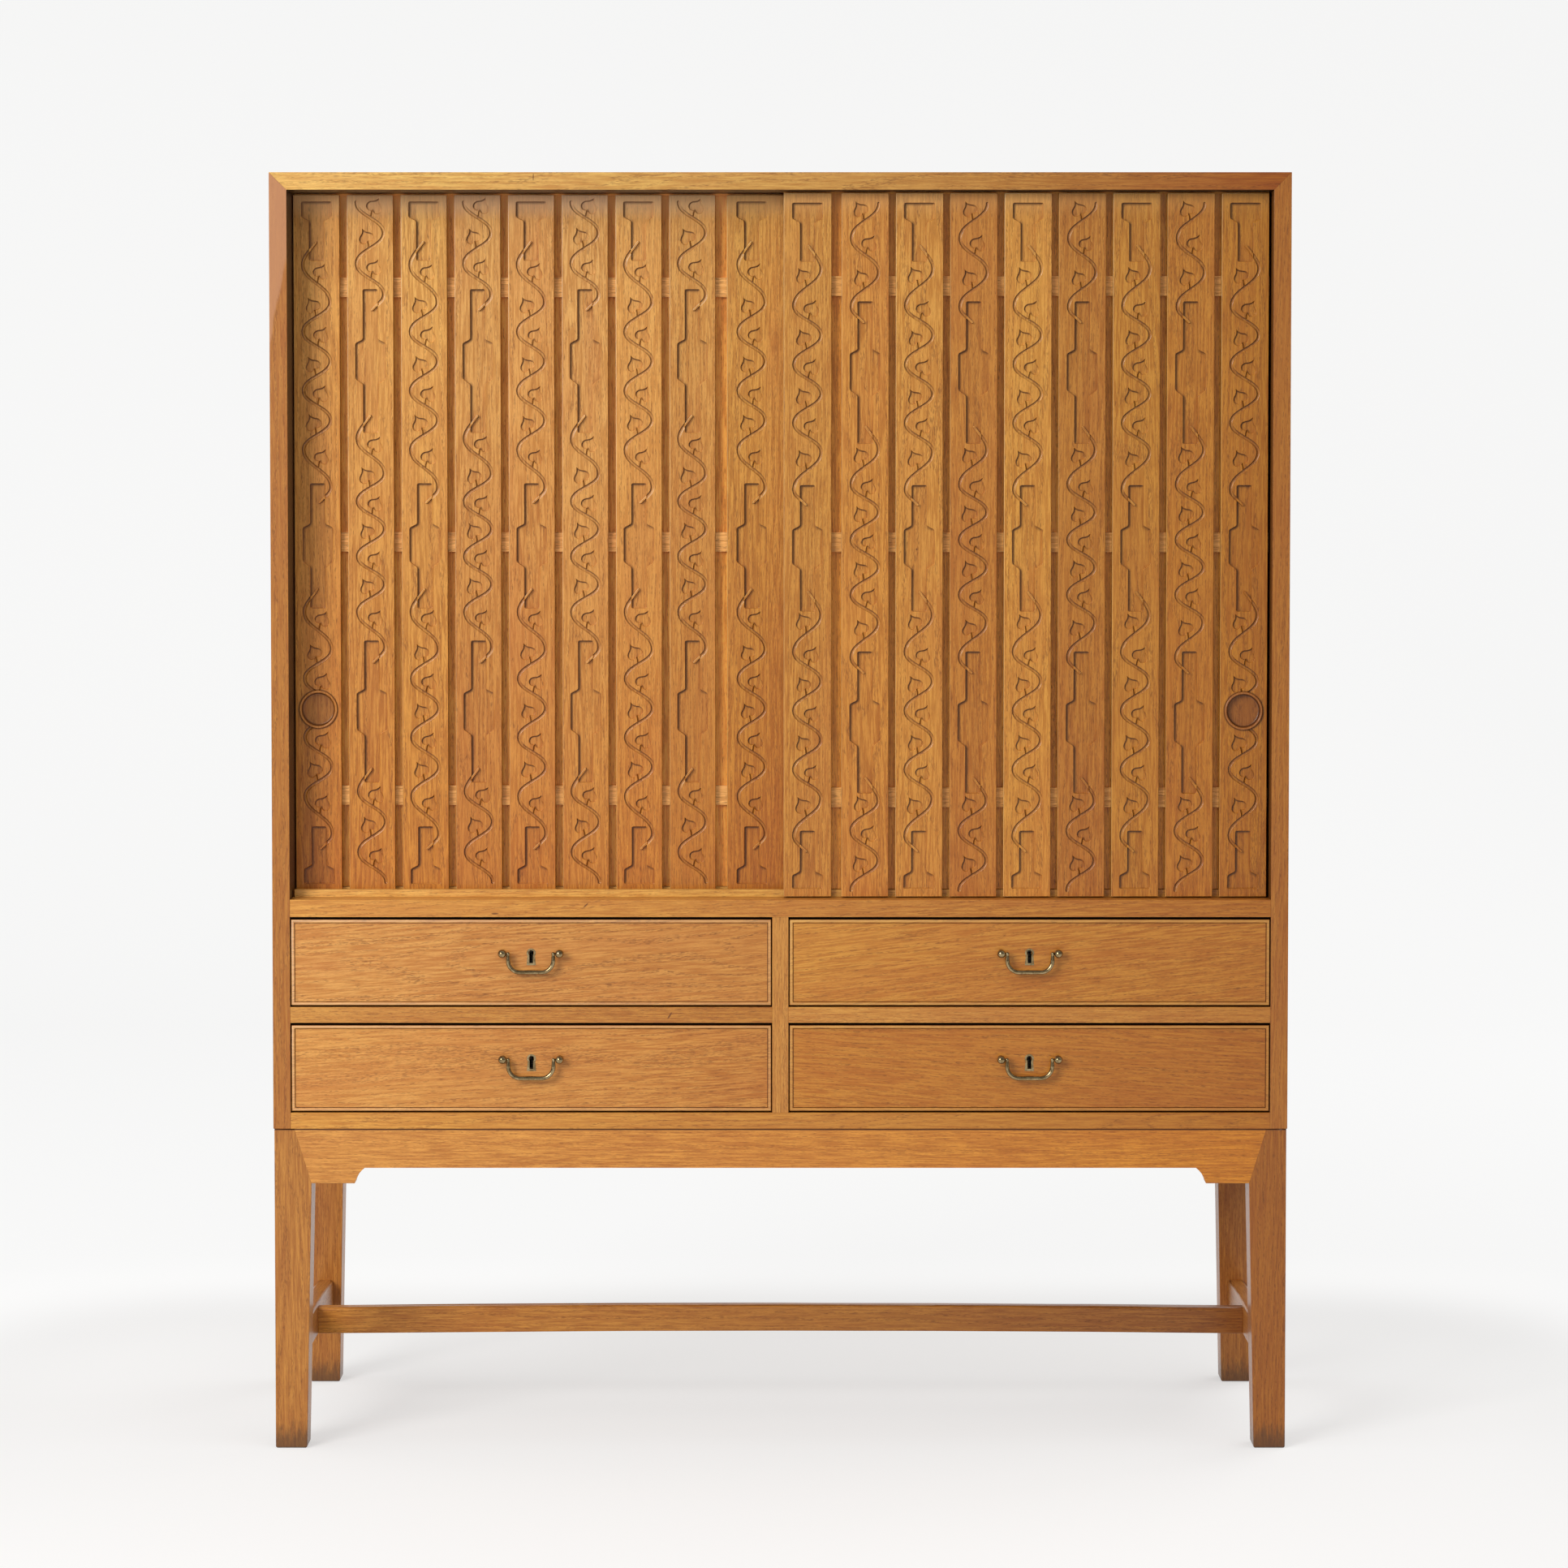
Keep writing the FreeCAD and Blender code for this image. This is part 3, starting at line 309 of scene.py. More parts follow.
def brass():
    """Old brass, olive brown in its hollows and bright where hands rub it."""
    s = Shader(bpy.data.materials.new("antique_brass"))
    patches = s.noise(s.place(), (220, 220, 220), detail=4, roughness=0.6)
    specks = s.noise(s.place(), (1400, 1400, 1400))
    colour = s.mix(s.ramp(patches, 0.3, 0.7), srgb(170, 150, 112), srgb(122, 102, 70))
    colour = s.mix(s.ramp(specks, 0.62, 0.76, 0.0, 0.2), colour, srgb(62, 50, 32))
    rough = s.ramp(patches, 0.3, 0.7, 0.14, 0.22)
    bump = s.node("Bump", {"Height": specks, "Strength": 0.03, "Distance": 0.1 * MM})
    metal = s.node("BsdfPrincipled", {"Base Color": colour, "Metallic": 1.0, "Roughness": rough,
                                      "Normal": bump.outputs["Normal"]})
    return s.surface(metal.outputs[0])


def steel():
    """Dull steel of locks and screws, with brushed lines and a little rust."""
    s = Shader(bpy.data.materials.new("steel"))
    lines = s.noise(s.place(), (60, 900, 900), detail=3)
    rust = s.noise(s.place(), (160, 160, 160), detail=5, roughness=0.65)
    colour = s.mix(s.ramp(lines, 0.35, 0.65), srgb(92, 88, 82), srgb(62, 58, 52))
    colour = s.mix(s.ramp(rust, 0.55, 0.7, 0.0, 0.7), colour, srgb(66, 42, 26))
    rough = s.ramp(lines, 0.3, 0.7, 0.42, 0.58)
    metal = s.node("BsdfPrincipled", {"Base Color": colour, "Metallic": 1.0, "Roughness": rough})
    return s.surface(metal.outputs[0])


CASE_COLOURS = (srgb(212, 150, 68), srgb(176, 110, 40), srgb(174, 98, 40))
MATERIALS = {
    "case_oak": oak("case_oak", *CASE_COLOURS),
    "door_oak": oak("door_oak", srgb(218, 154, 78), srgb(182, 116, 46), srgb(184, 106, 48),
                    even=0.1, painted_top_light=True, marks=((172, 1138, 1.6, 1.6, 0),)),
    "drawer_oak": oak("drawer_oak", srgb(218, 154, 78), srgb(184, 114, 46), srgb(184, 104, 44),
                      even=0.13),
    "stand_oak": oak("stand_oak", srgb(204, 140, 66), srgb(162, 98, 38), srgb(162, 90, 38),
                     worn_stand=True),
    "inside_wood": oak("inside_wood", srgb(204, 146, 80), srgb(172, 112, 54),
                       srgb(170, 100, 50), gloss=0.6),
    "antique_brass": brass(),
    "steel": steel(),
}
# Boards of the case with heartwood, marks and painted shade of their own.
OWN_OAK = {node: oak("case_oak_" + name, *CASE_COLOURS, **own_looks) for node, name, own_looks in (
    ("side_left", "left", {"heartwood": True, "painted_shade_side": ("X", 1, 1.0)}),
    ("side_right", "right", {"painted_shade_side": ("X", -1, 0.6)}),
    ("top_board", "top", {"painted_shade_side": ("Z", -1, 0.95), "marks": ((-309, 1604, 5.5, 0.9, 88),)}),
    ("deck_board", "deck", {"painted_shade_side": ("Z", -1, 0.9),
                            "marks": ((-245, 690, 5.2, 1.3, 42), (-359.5, 679.5, 6, 1.5, 0))}),
    ("drawer_rails", "rails", {"painted_shade_side": ("Z", -1, 0.9),
                               "marks": ((-139.5, 550.5, 6.5, 1.5, 58),)}),
)}


# Boards. The pith is the middle of the tree, beside the board.
GRAIN_AXIS = {"centre_divider": 2, "left_door_cup": 2, "right_door_cup": 2}
PITH_AWAY = (35 * MM, 120 * MM)
PITH_ASIDE = 90 * MM
PITH_TILT = 0.02
MOST_SHIFT = 9
TONE_LUCK = (0.97, 1.03)
USUAL_WARMTH = 0.1
MOST_SLANT = 0.015
GRAIN_SLANT = {"upper_left_drawer_front": -0.07, "upper_right_drawer_front": -0.1,
               "lower_left_drawer_front": -0.05, "lower_right_drawer_front": 0.06,
               "deck_board": 0.03, "bottom_board": -0.02}
SOFT_EDGE = {"case_oak": 0.45 * MM, "door_oak": 0.3 * MM, "stand_oak": 0.9 * MM,
             "inside_wood": 0.4 * MM}
JOINT_EDGE = 0.2 * MM
SHORT_EDGE = 8 * MM
STRAIGHT_SHARE = 0.995
BEVEL_ANGLE = math.radians(28)
# Edges that turn more degrees than this stay sharp.
EASED_SHARP = 40
ROUND_SHARP = 35
METAL_SHARP = 34
SLAT_SHARP = 30
SAME_PLACE = 0.002 * MM
FLAT_ANGLE = math.radians(0.6)


def solids_of(mesh):
    """The mesh's separate solids, each as the indices of its vertices."""
    parent = list(range(len(mesh.vertices)))

    def root(i):
        while parent[i] != i:
            parent[i] = parent[parent[i]]
            i = parent[i]
        return i

    for edge in mesh.edges:
        first, second = (root(i) for i in edge.vertices)
        parent[second] = first
    groups = {}
    for i in range(len(parent)):
        groups.setdefault(root(i), []).append(i)
    return list(groups.values())


def places_of(mesh):
    """All vertex places as an array."""
    flat = np.empty(len(mesh.vertices) * 3)
    mesh.vertices.foreach_get("co", flat)
    return flat.reshape(-1, 3)


def add_values(mesh, name, values):
    """Store one number, or one vector, for each vertex."""
    values = np.asarray(values, dtype=float)
    kind, field = ("FLOAT", "value") if values.ndim == 1 else ("FLOAT_VECTOR", "vector")
    layer = mesh.attributes.new(name, kind, "POINT")
    layer.data.foreach_set(field, values.ravel())


# Each board's red, green and blue against its material, and how much of it is redder.
# Besides their own colours, boards on the right are darker as painted shade where the lamp's light
# falls off.
TONES = {
    "side_left": (0.84, 0.76, 0.62), "side_right": (0.76, 0.68, 0.50),
    "top_board": (1.04, 1.26, 1.52), "deck_board": (0.98, 0.94, 0.78),
    "bottom_board": (1.0, 0.97, 0.75), "drawer_rails": (0.98, 0.97, 0.9),
    "door_runners": (1.14, 1.36, 1.45),
    "left_door_ledges": (1.55, 1.8, 2.2), "right_door_ledges": (1.35, 1.5, 1.6),
    "left_door_backing": (1.95, 1.85, 1.2), "right_door_backing": (1.7, 1.5, 0.75),
    "upper_left_drawer_front": (1.02, 1.05, 1.02), "upper_right_drawer_front": (0.9, 0.86, 0.5),
    "lower_left_drawer_front": (1.03, 1.03, 0.92),
    "lower_right_drawer_front": (0.82, 0.74, 0.36),
    "leg_front_left": (0.96, 0.94, 0.78), "leg_front_right": (0.74, 0.63, 0.34),
    "leg_back_left": (0.97, 0.92, 0.75), "leg_back_right": (0.88, 0.8, 0.6),
    "apron_front": (1.24, 1.22, 0.9), "stretcher_sides": (0.92, 0.88, 0.75),
    "stretcher_cross": (0.9, 0.87, 0.62),
}
# Painted light: how fast red, green and blue change, per metre to the right, darker where the
# lamp's light falls off, and for slats per metre upwards, lighter and greyer towards the top.
EVEN = (0, 0, 0)
LONG_BOARD_FALLOFF = (-0.38, -0.58, -1.0)
PAINTED_FALLOFF = {node: LONG_BOARD_FALLOFF for node, slot_name in SLOTS.items()
         if slot_name == "drawer_oak" or node in ("deck_board", "bottom_board", "door_runners",
                                                  "drawer_rails")}
PAINTED_FALLOFF.update({"top_board": (-0.67, -1.1, -1.5), "apron_front": (-0.1, -0.25, -0.9),
              "stretcher_cross": (-0.65, -0.8, -0.9)})
SLAT_PAINTED_GRADIENT = {"left": (0.3, 0.66, 1.35), "right": (0.08, 0.22, 0.45)}
WARMTH = {"side_left": 0.2, "side_right": 0.3, "upper_right_drawer_front": 0.15,
          "lower_right_drawer_front": 0.3, "leg_front_right": 0.3}


def give_grain(mesh, node, own_tone=None, own_warmth=None, upwards=EVEN):
    """Set each board's grain coordinates and tone, the same on every run."""
    places = places_of(mesh)
    grain = np.zeros_like(places)
    tone = np.ones_like(places)
    warmth = WARMTH.get(node, USUAL_WARMTH) if own_warmth is None else own_warmth
    groups = sorted(solids_of(mesh),
                    key=lambda group: tuple(places[group].mean(axis=0).round(4)))
    to_right = PAINTED_FALLOFF.get(node, EVEN)
    for number, group in enumerate(groups):
        board = places[group]
        low, high = board.min(axis=0), board.max(axis=0)
        lengths = high - low
        along = GRAIN_AXIS.get(node, int(np.argmax(lengths)))
        across, depth = sorted((axis for axis in range(3) if axis != along),
                               key=lambda axis: -lengths[axis])
        luck = random.Random("%s %d" % (node, number))
        middle = (low + high) / 2
        aside = luck.uniform(-PITH_ASIDE, PITH_ASIDE)
        away = luck.uniform(*PITH_AWAY) * luck.choice((-1, 1))
        tilt = luck.uniform(-PITH_TILT, PITH_TILT)
        shift = luck.uniform(0, MOST_SHIFT)
        slant = GRAIN_SLANT.get(node, luck.uniform(-MOST_SLANT, MOST_SLANT))
        length = board[:, along] - middle[along]
        grain[group, 0] = board[:, across] - middle[across] + aside + slant * length
        grain[group, 1] = board[:, depth] - middle[depth] + away + tilt * length
        grain[group, 2] = length + shift
        # painted light: darker towards the right, and for slats lighter upwards
        change = (1 + np.outer(board[:, 0] - middle[0], to_right)
                  + np.outer(board[:, 2] - middle[2], upwards))
        board_tone = np.array(own_tone or TONES.get(node, 1.0))
        tone[group] = board_tone * luck.uniform(*TONE_LUCK) * change
    add_values(mesh, "grain", grain)
    add_values(mesh, "tone", tone)
    add_values(mesh, "warm", np.full(len(places), warmth))


def dress(piece, node):
    """Give a piece its material and tie it to the solids that it stands for."""
    piece.data.materials.clear()
    piece.data.materials.append(OWN_OAK.get(node, MATERIALS[SLOTS[node]]))
    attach(piece, BODIES[node])
    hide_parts(node)


def add_object(name, data):
    """A mesh, lamp or camera, placed in the scene."""
    made = bpy.data.objects.new(name, data)
    bpy.context.scene.collection.objects.link(made)
    return made


def joined_copy(node, whole_flats=False):
    """A copy of a node's shape with its faces sewn together, and its flats made whole if asked."""
    shape = bmesh.new()
    shape.from_mesh(frame["nodes"][node].data)
    bmesh.ops.remove_doubles(shape, verts=shape.verts, dist=SAME_PLACE)
    if whole_flats:
        bmesh.ops.dissolve_limit(shape, angle_limit=FLAT_ANGLE, verts=shape.verts,
                                 edges=shape.edges)
    return shape


def mesh_of(shape, name):
    """The finished shape as a mesh."""
    mesh = bpy.data.meshes.new(name)
    shape.to_mesh(mesh)
    shape.free()
    return mesh


def shade(piece, sharp_angle):
    """Smooth shading that follows the largest faces, so that flats stay flat."""
    for polygon in piece.data.polygons:
        polygon.use_smooth = True
    piece.data.set_sharp_from_angle(angle=math.radians(sharp_angle))
    piece.modifiers.new("weigh", "WEIGHTED_NORMAL").keep_sharp = True
    bake_modifiers(piece)


def bake_modifiers(piece):
    """Put what the modifiers give into the mesh itself."""
    before = piece.data
    name = before.name
    piece.data = bpy.data.meshes.new_from_object(
        piece.evaluated_get(bpy.context.evaluated_depsgraph_get()))
    piece.modifiers.clear()
    bpy.data.meshes.remove(before)
    piece.data.name = name


def softened(node, edge_width):
    """A node's own shape with its long edges eased as a plane and sandpaper leave them."""
    shape = joined_copy(node, whole_flats=True)
    shape.edges.ensure_lookup_table()
    weights = []
    for edge in shape.edges:
        run = edge.verts[1].co - edge.verts[0].co
        sharp = (len(edge.link_faces) == 2 and edge.is_convex
                 and edge.calc_face_angle(0) > BEVEL_ANGLE and run.length > SHORT_EDGE)
        longest = max(abs(part) for part in run)
        straight = run.length > 0 and longest > STRAIGHT_SHARE * run.length
        weights.append((1.0 if straight else JOINT_EDGE / edge_width) if sharp else 0.0)
    mesh = mesh_of(shape, node + "_eased")
    layer = mesh.attributes.new("bevel_weight_edge", "FLOAT", "EDGE")
    layer.data.foreach_set("value", weights)
    piece = add_object(node + "_eased", mesh)
    bevel = piece.modifiers.new("ease", "BEVEL")
    bevel.width = edge_width
    bevel.segments = 2
    bevel.limit_method = "WEIGHT"
    bevel.use_clamp_overlap = False
    bake_modifiers(piece)
    shade(piece, EASED_SHARP)
    give_grain(piece.data, node)
    dress(piece, node)


# The edge of a drawer front in millimetres: painted shade on its rim and in its groove, a pale
# painted highlight on the bead between.
TOP_EDGE = 1.0
TOP_RIM_SHADE = ((0.35, 0.9), (1.2, 0.0))
RIM_SHADE = ((0.2, 0.5), (0.9, 0.0))
BEAD = (1.2, 2.6)
BEAD_DEPTH = 2
TOP_BEAD_HIGHLIGHT = -0.55
BEAD_HIGHLIGHT = -0.42
QUIRK_INSET = 4.2
QUIRK_WIDTH = 1.1
QUIRK_DEPTH = 2.3
FRONT_DEPTH = 6


def moulding_shade_and_highlight(places):
    """Painted shade round the edge of a drawer front and in the groove inside its bead, and a
    painted highlight on the bead.
    """
    low, high = places.min(axis=0), places.max(axis=0)
    from_top = high[2] - places[:, 2]
    rim = np.min([from_top, places[:, 2] - low[2], places[:, 0] - low[0],
                  high[0] - places[:, 0]], axis=0)
    depth = places[:, 1] - low[1]
    # painted shade in the gap round the front, widest at the top
    edge = np.where(from_top < TOP_EDGE, np.interp(rim, *TOP_RIM_SHADE),
                    np.interp(rim, *RIM_SHADE))
    bead = (rim > BEAD[0]) & (rim < BEAD[1]) & (depth < BEAD_DEPTH)
    # a pale painted highlight on the bead, strongest on top
    edge = np.where(bead, np.where(from_top < BEAD[1], TOP_BEAD_HIGHLIGHT, BEAD_HIGHLIGHT), edge)
    # painted shade in the groove inside the bead
    groove = ((rim > QUIRK_INSET - 0.3) & (rim < QUIRK_INSET + QUIRK_WIDTH)
              & (depth > QUIRK_DEPTH - 0.2) & (depth < FRONT_DEPTH))
    return np.where(groove, 1.0, edge)


def moulded(node):
    """A drawer front: its bead is already round, so its edges stay as they are."""
    mesh = mesh_of(joined_copy(node, whole_flats=True), node + "_moulded")
    add_values(mesh, "shade_and_highlight", moulding_shade_and_highlight(places_of(mesh) / MM))
    piece = add_object(node + "_moulded", mesh)
    shade(piece, ROUND_SHARP)
    give_grain(piece.data, node)
    dress(piece, node)


def polished(node):
    """A metal node's own shape, sewn together so that it shines without facets."""
    piece = add_object(node + "_polished", mesh_of(joined_copy(node), node + "_polished"))
    shade(piece, METAL_SHARP)
    dress(piece, node)


for node, slot_name in SLOTS.items():
    if slot_name in ("antique_brass", "steel"):
        polished(node)
    elif node.endswith("_door_slats") or node.endswith("_door_cup"):
        continue
    elif slot_name == "drawer_oak":
        moulded(node)
    else:
        softened(node, SOFT_EDGE[slot_name])


# Carved slats. Heights are above the floor, and x runs from the middle of the ornament.
# A sunk tablet and the worn rim that tablets and leaves have.
NECK_HALF = 9.5
BELLY_HALF = 19.25
SHOULDER_RISE = 5.0
FOOT_RISE = 7.0
CORNER_CUT = 2.2
TABLET_DEPTH = 4.0
RIM = 0.55
RIM_DROP = 0.4
WALL_RUN = 0.5
WALL_FOOT_RUN = 1.5
SHADE_RUN = 4.0
LEAF_SHADE_RUN = 2.0

# The stem is a groove, and a bar left standing inside a tablet. At each place across its half: how
# deep the groove is, its painted shade on the wall away from the light, and its painted highlight
# on the lit wall.
STEM_HALF = 2.1
STEM_DEPTH = 1.9
STEM_FADE = 1.0
BAR_HALF = 1.1
STEM_PLACES = (0.0, 0.5, 1.1, 1.6, 2.1, 2.6)
STEM_CUTS = (1.0, 0.98, 0.92, 0.78, 0.0, 0.0)
STEM_SHADE = (0.1, 0.2, 0.6, 1.0, 0.85, 0.0)
STEM_HIGHLIGHT = (0.0, 0.0, 0.0, 0.35, 0.9, 0.0)
WAVE_REACH = 17.9
WAVE_SHARPENING = -0.7
WAVE_STEPS = 12
END_STRETCH = 1.27

# Lines of the mesh beside the outlines and the stem, and rings round the stem's ends.
TABLET_LINES = (-STEM_FADE, -RIM, 0, WALL_RUN, WALL_FOOT_RUN, SHADE_RUN)
LEAF_LINES = (-STEM_FADE, -RIM, 0, WALL_RUN, 1.1, LEAF_SHADE_RUN)
STEM_LINES = [-place for place in STEM_PLACES[:0:-1]] + list(STEM_PLACES)
END_RADII = (2.6, STEM_HALF, 1.6, BAR_HALF, 0.5)

# A leaf and its petiole, the thin groove from the stem to the leaf's notch.
LEAF_LENGTH = 18.4
LEAF_WIDTH = 19.0
LEAF_DEPTH = 2.4
LEAF_TILT = math.radians(27)
LEAF_TILT_LUCK = 0.06
LEAF_SIZE_LUCK = (0.95, 1.06)
NOTCH_ASIDE = 2.65
NOTCH_RISE = 8.5
NOTCH_LUCK = 0.4
PETIOLE_HALF = 1.15
PETIOLE_DEPTH = 1.7
PETIOLE_FOOT = 1.3
PETIOLE_RISE = 0.4
PETIOLE_BOW = 0.3

# Walls that face away from the light get painted shade at their foot, over a little darkening on
# every wall, and rims that face the light get a pale painted highlight.
LIGHT_FROM = (-0.6, 0.8)
SHADED_TO = 0.4
LEAST_WALL_DARKENING = 0.2
LIT_FROM = 0.64
LIT_GAIN = 6
LEAST_HIGHLIGHT = 0.3
ON_FLOOR = 0.05
# How much the floors of tablets, leaves and stems, and the petioles' grooves, are darkened.
TABLET_FLOOR_DARKENING = 0.06
LEAF_FLOOR_DARKENING = 0.05
STEM_FLOOR_DARKENING = 0.12
PETIOLE_DARKENING = 0.8
FAR = 1000.0

# The slat's own edges, its hole for the cup, and how its mesh is made.
ARRIS = 0.9
ARRIS_RINGS = 3
# A pale painted highlight on the left arris, and painted shade on the sides and back.
ARRIS_HIGHLIGHT = (-0.5, 0, 0, -0.5)
SIDE_SHADE = 1.0
CUP_BORE = 22.75
CUP_HOLE_DEPTH = 9.7
CUP_HOLE_WALL = 0.3
CUP_HOLE_POINTS = 64
# A ring of painted shade on the slat round the cup.
CUP_SHADE = (24.4, 26.0)
WHOLE_HULL = 0
SAME_POINT = 1e-4
WIDE_SLAT = ("left", 8)
WIDE_SLAT_MIDDLE = 31.5

# Tails that end a vine inside a tablet, drawn for a vine whose first bend is on the left.
TOP_TAIL = ((-17.2, 0), (-17.2, 9), (-9.6, 16), (-0.8, 28.4))
BOTTOM_TAIL = ((17.2, 0), (17.2, -8), (11.2, -10.2), (2.2, -19.6))
TAIL_POINTS = 10

# Tablets: height of the top, then the lengths of the neck above, the belly and the neck below.
# Vines: heights of the first and last bend, the number of half waves, and whether the upper and
# the lower end lie free of a tablet.
DESIGNS = {
    "left_a": (((1577.6, 0, 19.7, 50), (1221, 51.3, 43.3, 52.2), (784.4, 49.4, 19.1, 0)),
               ((1497.8, 1216.4, 7, False, False), (1058, 775.8, 7, False, False))),
    "left_b": (((1466.7, 63.3, 45, 61.3), (1021.3, 62, 46.4, 60.3)),
               ((1576.6, 1460.5, 3, True, False), (1278.1, 1013.5, 7, False, False),
                (829.5, 713.3, 3, False, True))),
    "right_a": (((1573.4, 0, 19.8, 49), (1218.7, 51.1, 43, 53.2), (782, 51.5, 17, 0)),
                ((1491, 1213.6, 7, False, False), (1055.5, 775.8, 7, False, False))),
    "right_b": (((1449.7, 60.5, 46, 60.4), (1008.9, 61.5, 46.2, 59.9)),
                ((1572.4, 1443.2, 3, True, False), (1263.7, 1001.7, 7, False, False),
                 (820.3, 706.8, 3, False, True))),
}


def curve(points, count):
    """Points along a cubic curve through its first and last control points."""
    t = np.linspace(0, 1, count)[:, None]
    a, b, c, d = (np.array(point, dtype=float) for point in points)
    return a * (1 - t) ** 3 + 3 * b * t * (1 - t) ** 2 + 3 * c * t ** 2 * (1 - t) + d * t ** 3


def tablet_outline(top, neck_above, belly, neck_below):
    """A stepped tablet: a wide belly between narrow necks, its corners slightly cut."""
    right = []
    level = top
    if neck_above:
        right += [(NECK_HALF, level), (NECK_HALF, level - neck_above)]
        level -= neck_above + SHOULDER_RISE
    right += [(BELLY_HALF, level), (BELLY_HALF, level - belly)]
    level -= belly
    if neck_below:
        level -= SHOULDER_RISE if not neck_above else FOOT_RISE
        right += [(NECK_HALF, level), (NECK_HALF, level - neck_below)]
    left = [(-x, z) for x, z in reversed(right)]
    return rounded(np.array(right + left, dtype=float))


def rounded(corners):
    """A closed outline with each corner replaced by a short curve."""
    points = []
    for i, corner in enumerate(corners):
        before = corners[i - 1] - corner
        after = corners[(i + 1) % len(corners)] - corner
        start = corner + before / np.linalg.norm(before) * CORNER_CUT
        end = corner + after / np.linalg.norm(after) * CORNER_CUT
        for t in (0, 0.33, 0.67, 1):
            points.append(start * (1 - t) ** 2 + corner * 2 * t * (1 - t) + end * t ** 2)
    return np.array(points)


def bend_heights(first, last, waves, free_start, free_end):
    """The height of each bend: half waves next to a tablet are drawn out."""
    parts = np.ones(waves)
    if not (free_start or free_end):
        parts[0] = parts[-1] = END_STRETCH
    return first + (last - first) * np.concatenate([[0], np.cumsum(parts)]) / parts.sum()


def vine_line(vine, side):
    """The stem's middle line, from its upper end to its lower end."""
    first, last, waves, free_start, free_end = vine
    t = np.linspace(0, waves, waves * WAVE_STEPS + 1)
    x = -(WAVE_REACH * np.cos(math.pi * t) + WAVE_SHARPENING * np.cos(3 * math.pi * t))
    wave = np.stack([x, np.interp(t, range(waves + 1), bend_heights(*vine))], axis=1)
    parts = [wave]
    if not free_start:
        tail = curve(TOP_TAIL, TAIL_POINTS) + (0, first)
        parts.insert(0, tail[:0:-1])
    if not free_end:
        tail = curve(BOTTOM_TAIL, TAIL_POINTS) + (0, last)
        parts.append(tail[1:])
    return np.concatenate(parts) * (side, 1)


# The right half of a leaf as three curves, in shares of its width and length.
LEAF_HALF_SHARES = (
    ((0, 0.06), (0.10, -0.05), (0.25, -0.10), (0.38, -0.02)),
    ((0.38, -0.02), (0.57, 0.10), (0.56, 0.36), (0.40, 0.51)),
    ((0.40, 0.51), (0.26, 0.63), (0.08, 0.68), (0, 1)),
)


def leaf_outline():
    """A generic heart-shaped leaf with a drawn-out tip, its notch near the origin."""
    right = np.concatenate([curve(shares, 7)[:-1] for shares in LEAF_HALF_SHARES]
                           + [np.array([[0.0, 1.0]])])
    left = right[-2:0:-1] * (-1, 1)
    return np.concatenate([right, left]) * (LEAF_WIDTH, LEAF_LENGTH)


LEAF = leaf_outline()


def leaves_of(vine, side, luck):
    """Each leaf's outline, and its petiole from the stem to the notch."""
    leaves = []
    bends = bend_heights(*vine)
    for number, crossing in enumerate((bends[:-1] + bends[1:]) / 2):
        lean = side * (-1) ** number
        tilt = lean * (LEAF_TILT + luck.uniform(-LEAF_TILT_LUCK, LEAF_TILT_LUCK))
        size = luck.uniform(*LEAF_SIZE_LUCK)
        turn = np.array([[math.cos(tilt), -math.sin(tilt)], [math.sin(tilt), math.cos(tilt)]])
        aside = lean * NOTCH_ASIDE + luck.uniform(-NOTCH_LUCK, NOTCH_LUCK)
        notch = np.array([aside, crossing + NOTCH_RISE])
        foot = np.array([lean * PETIOLE_FOOT, crossing + PETIOLE_RISE])
        middle = (foot + notch) / 2 + (-lean * PETIOLE_BOW, 0)
        leaves.append((LEAF * size @ turn + notch, np.array([foot, middle, notch])))
    return leaves


def offset(line, by, closed=False):
    """The line moved sideways, to the right of its direction."""
    if closed:
        before, after = np.roll(line, 1, axis=0), np.roll(line, -1, axis=0)
    else:
        before = np.concatenate([line[:1], line[:-1]])
        after = np.concatenate([line[1:], line[-1:]])
    run = after - before
    run /= np.linalg.norm(run, axis=1)[:, None]
    return line + np.stack([run[:, 1], -run[:, 0]], axis=1) * by


def distances(points, line, closed=False):
    """How far each point lies from a line, and how much the line's right side faces the light.

    The second number runs from -1 to 1. On the left of the line the facing is the opposite.
    The third says which points lie on the right.
    """
    ends = np.concatenate([line, line[:1]]) if closed else line
    start = ends[:-1]
    run = ends[1:] - start
    length = np.maximum(np.sqrt((run * run).sum(axis=1)), 1e-6)
    gap = points[:, None, :] - start[None]
    share = (gap * run).sum(axis=2) / length ** 2
    nearest = gap - np.clip(share, 0, 1)[..., None] * run
    away = np.sqrt((nearest ** 2).sum(axis=2))
    closest = away.argmin(axis=1)
    to_light = (run[:, 1] * LIGHT_FROM[0] - run[:, 0] * LIGHT_FROM[1]) / length
    own = np.arange(len(points)), closest
    rightwards = np.stack([run[:, 1], -run[:, 0]], axis=1)
    right = (gap[own] * rightwards[closest]).sum(axis=1) > 0
    return away[own], to_light[closest], right


def inside(points, outline):
    """Which points lie within a closed outline."""
    x, z = points[:, 0, None], points[:, 1, None]
    a, b = outline, np.roll(outline, -1, axis=0)
    crosses = (a[:, 1] > z) != (b[:, 1] > z)
    rise = np.where(b[:, 1] == a[:, 1], 1.0, b[:, 1] - a[:, 1])
    at = a[:, 0] + (z - a[:, 1]) * (b[:, 0] - a[:, 0]) / rise
    return (crosses & (x < at)).sum(axis=1) % 2 == 1


def step(value):
    """The value, held between 0 and 1."""
    return np.clip(value, 0, 1)


def wall(inward, depth):
    """The depth at a distance inside an outline: a worn rim, a steep wall and a flat floor."""
    return np.interp(inward, (-RIM, 0, WALL_RUN), (0, RIM_DROP, depth))


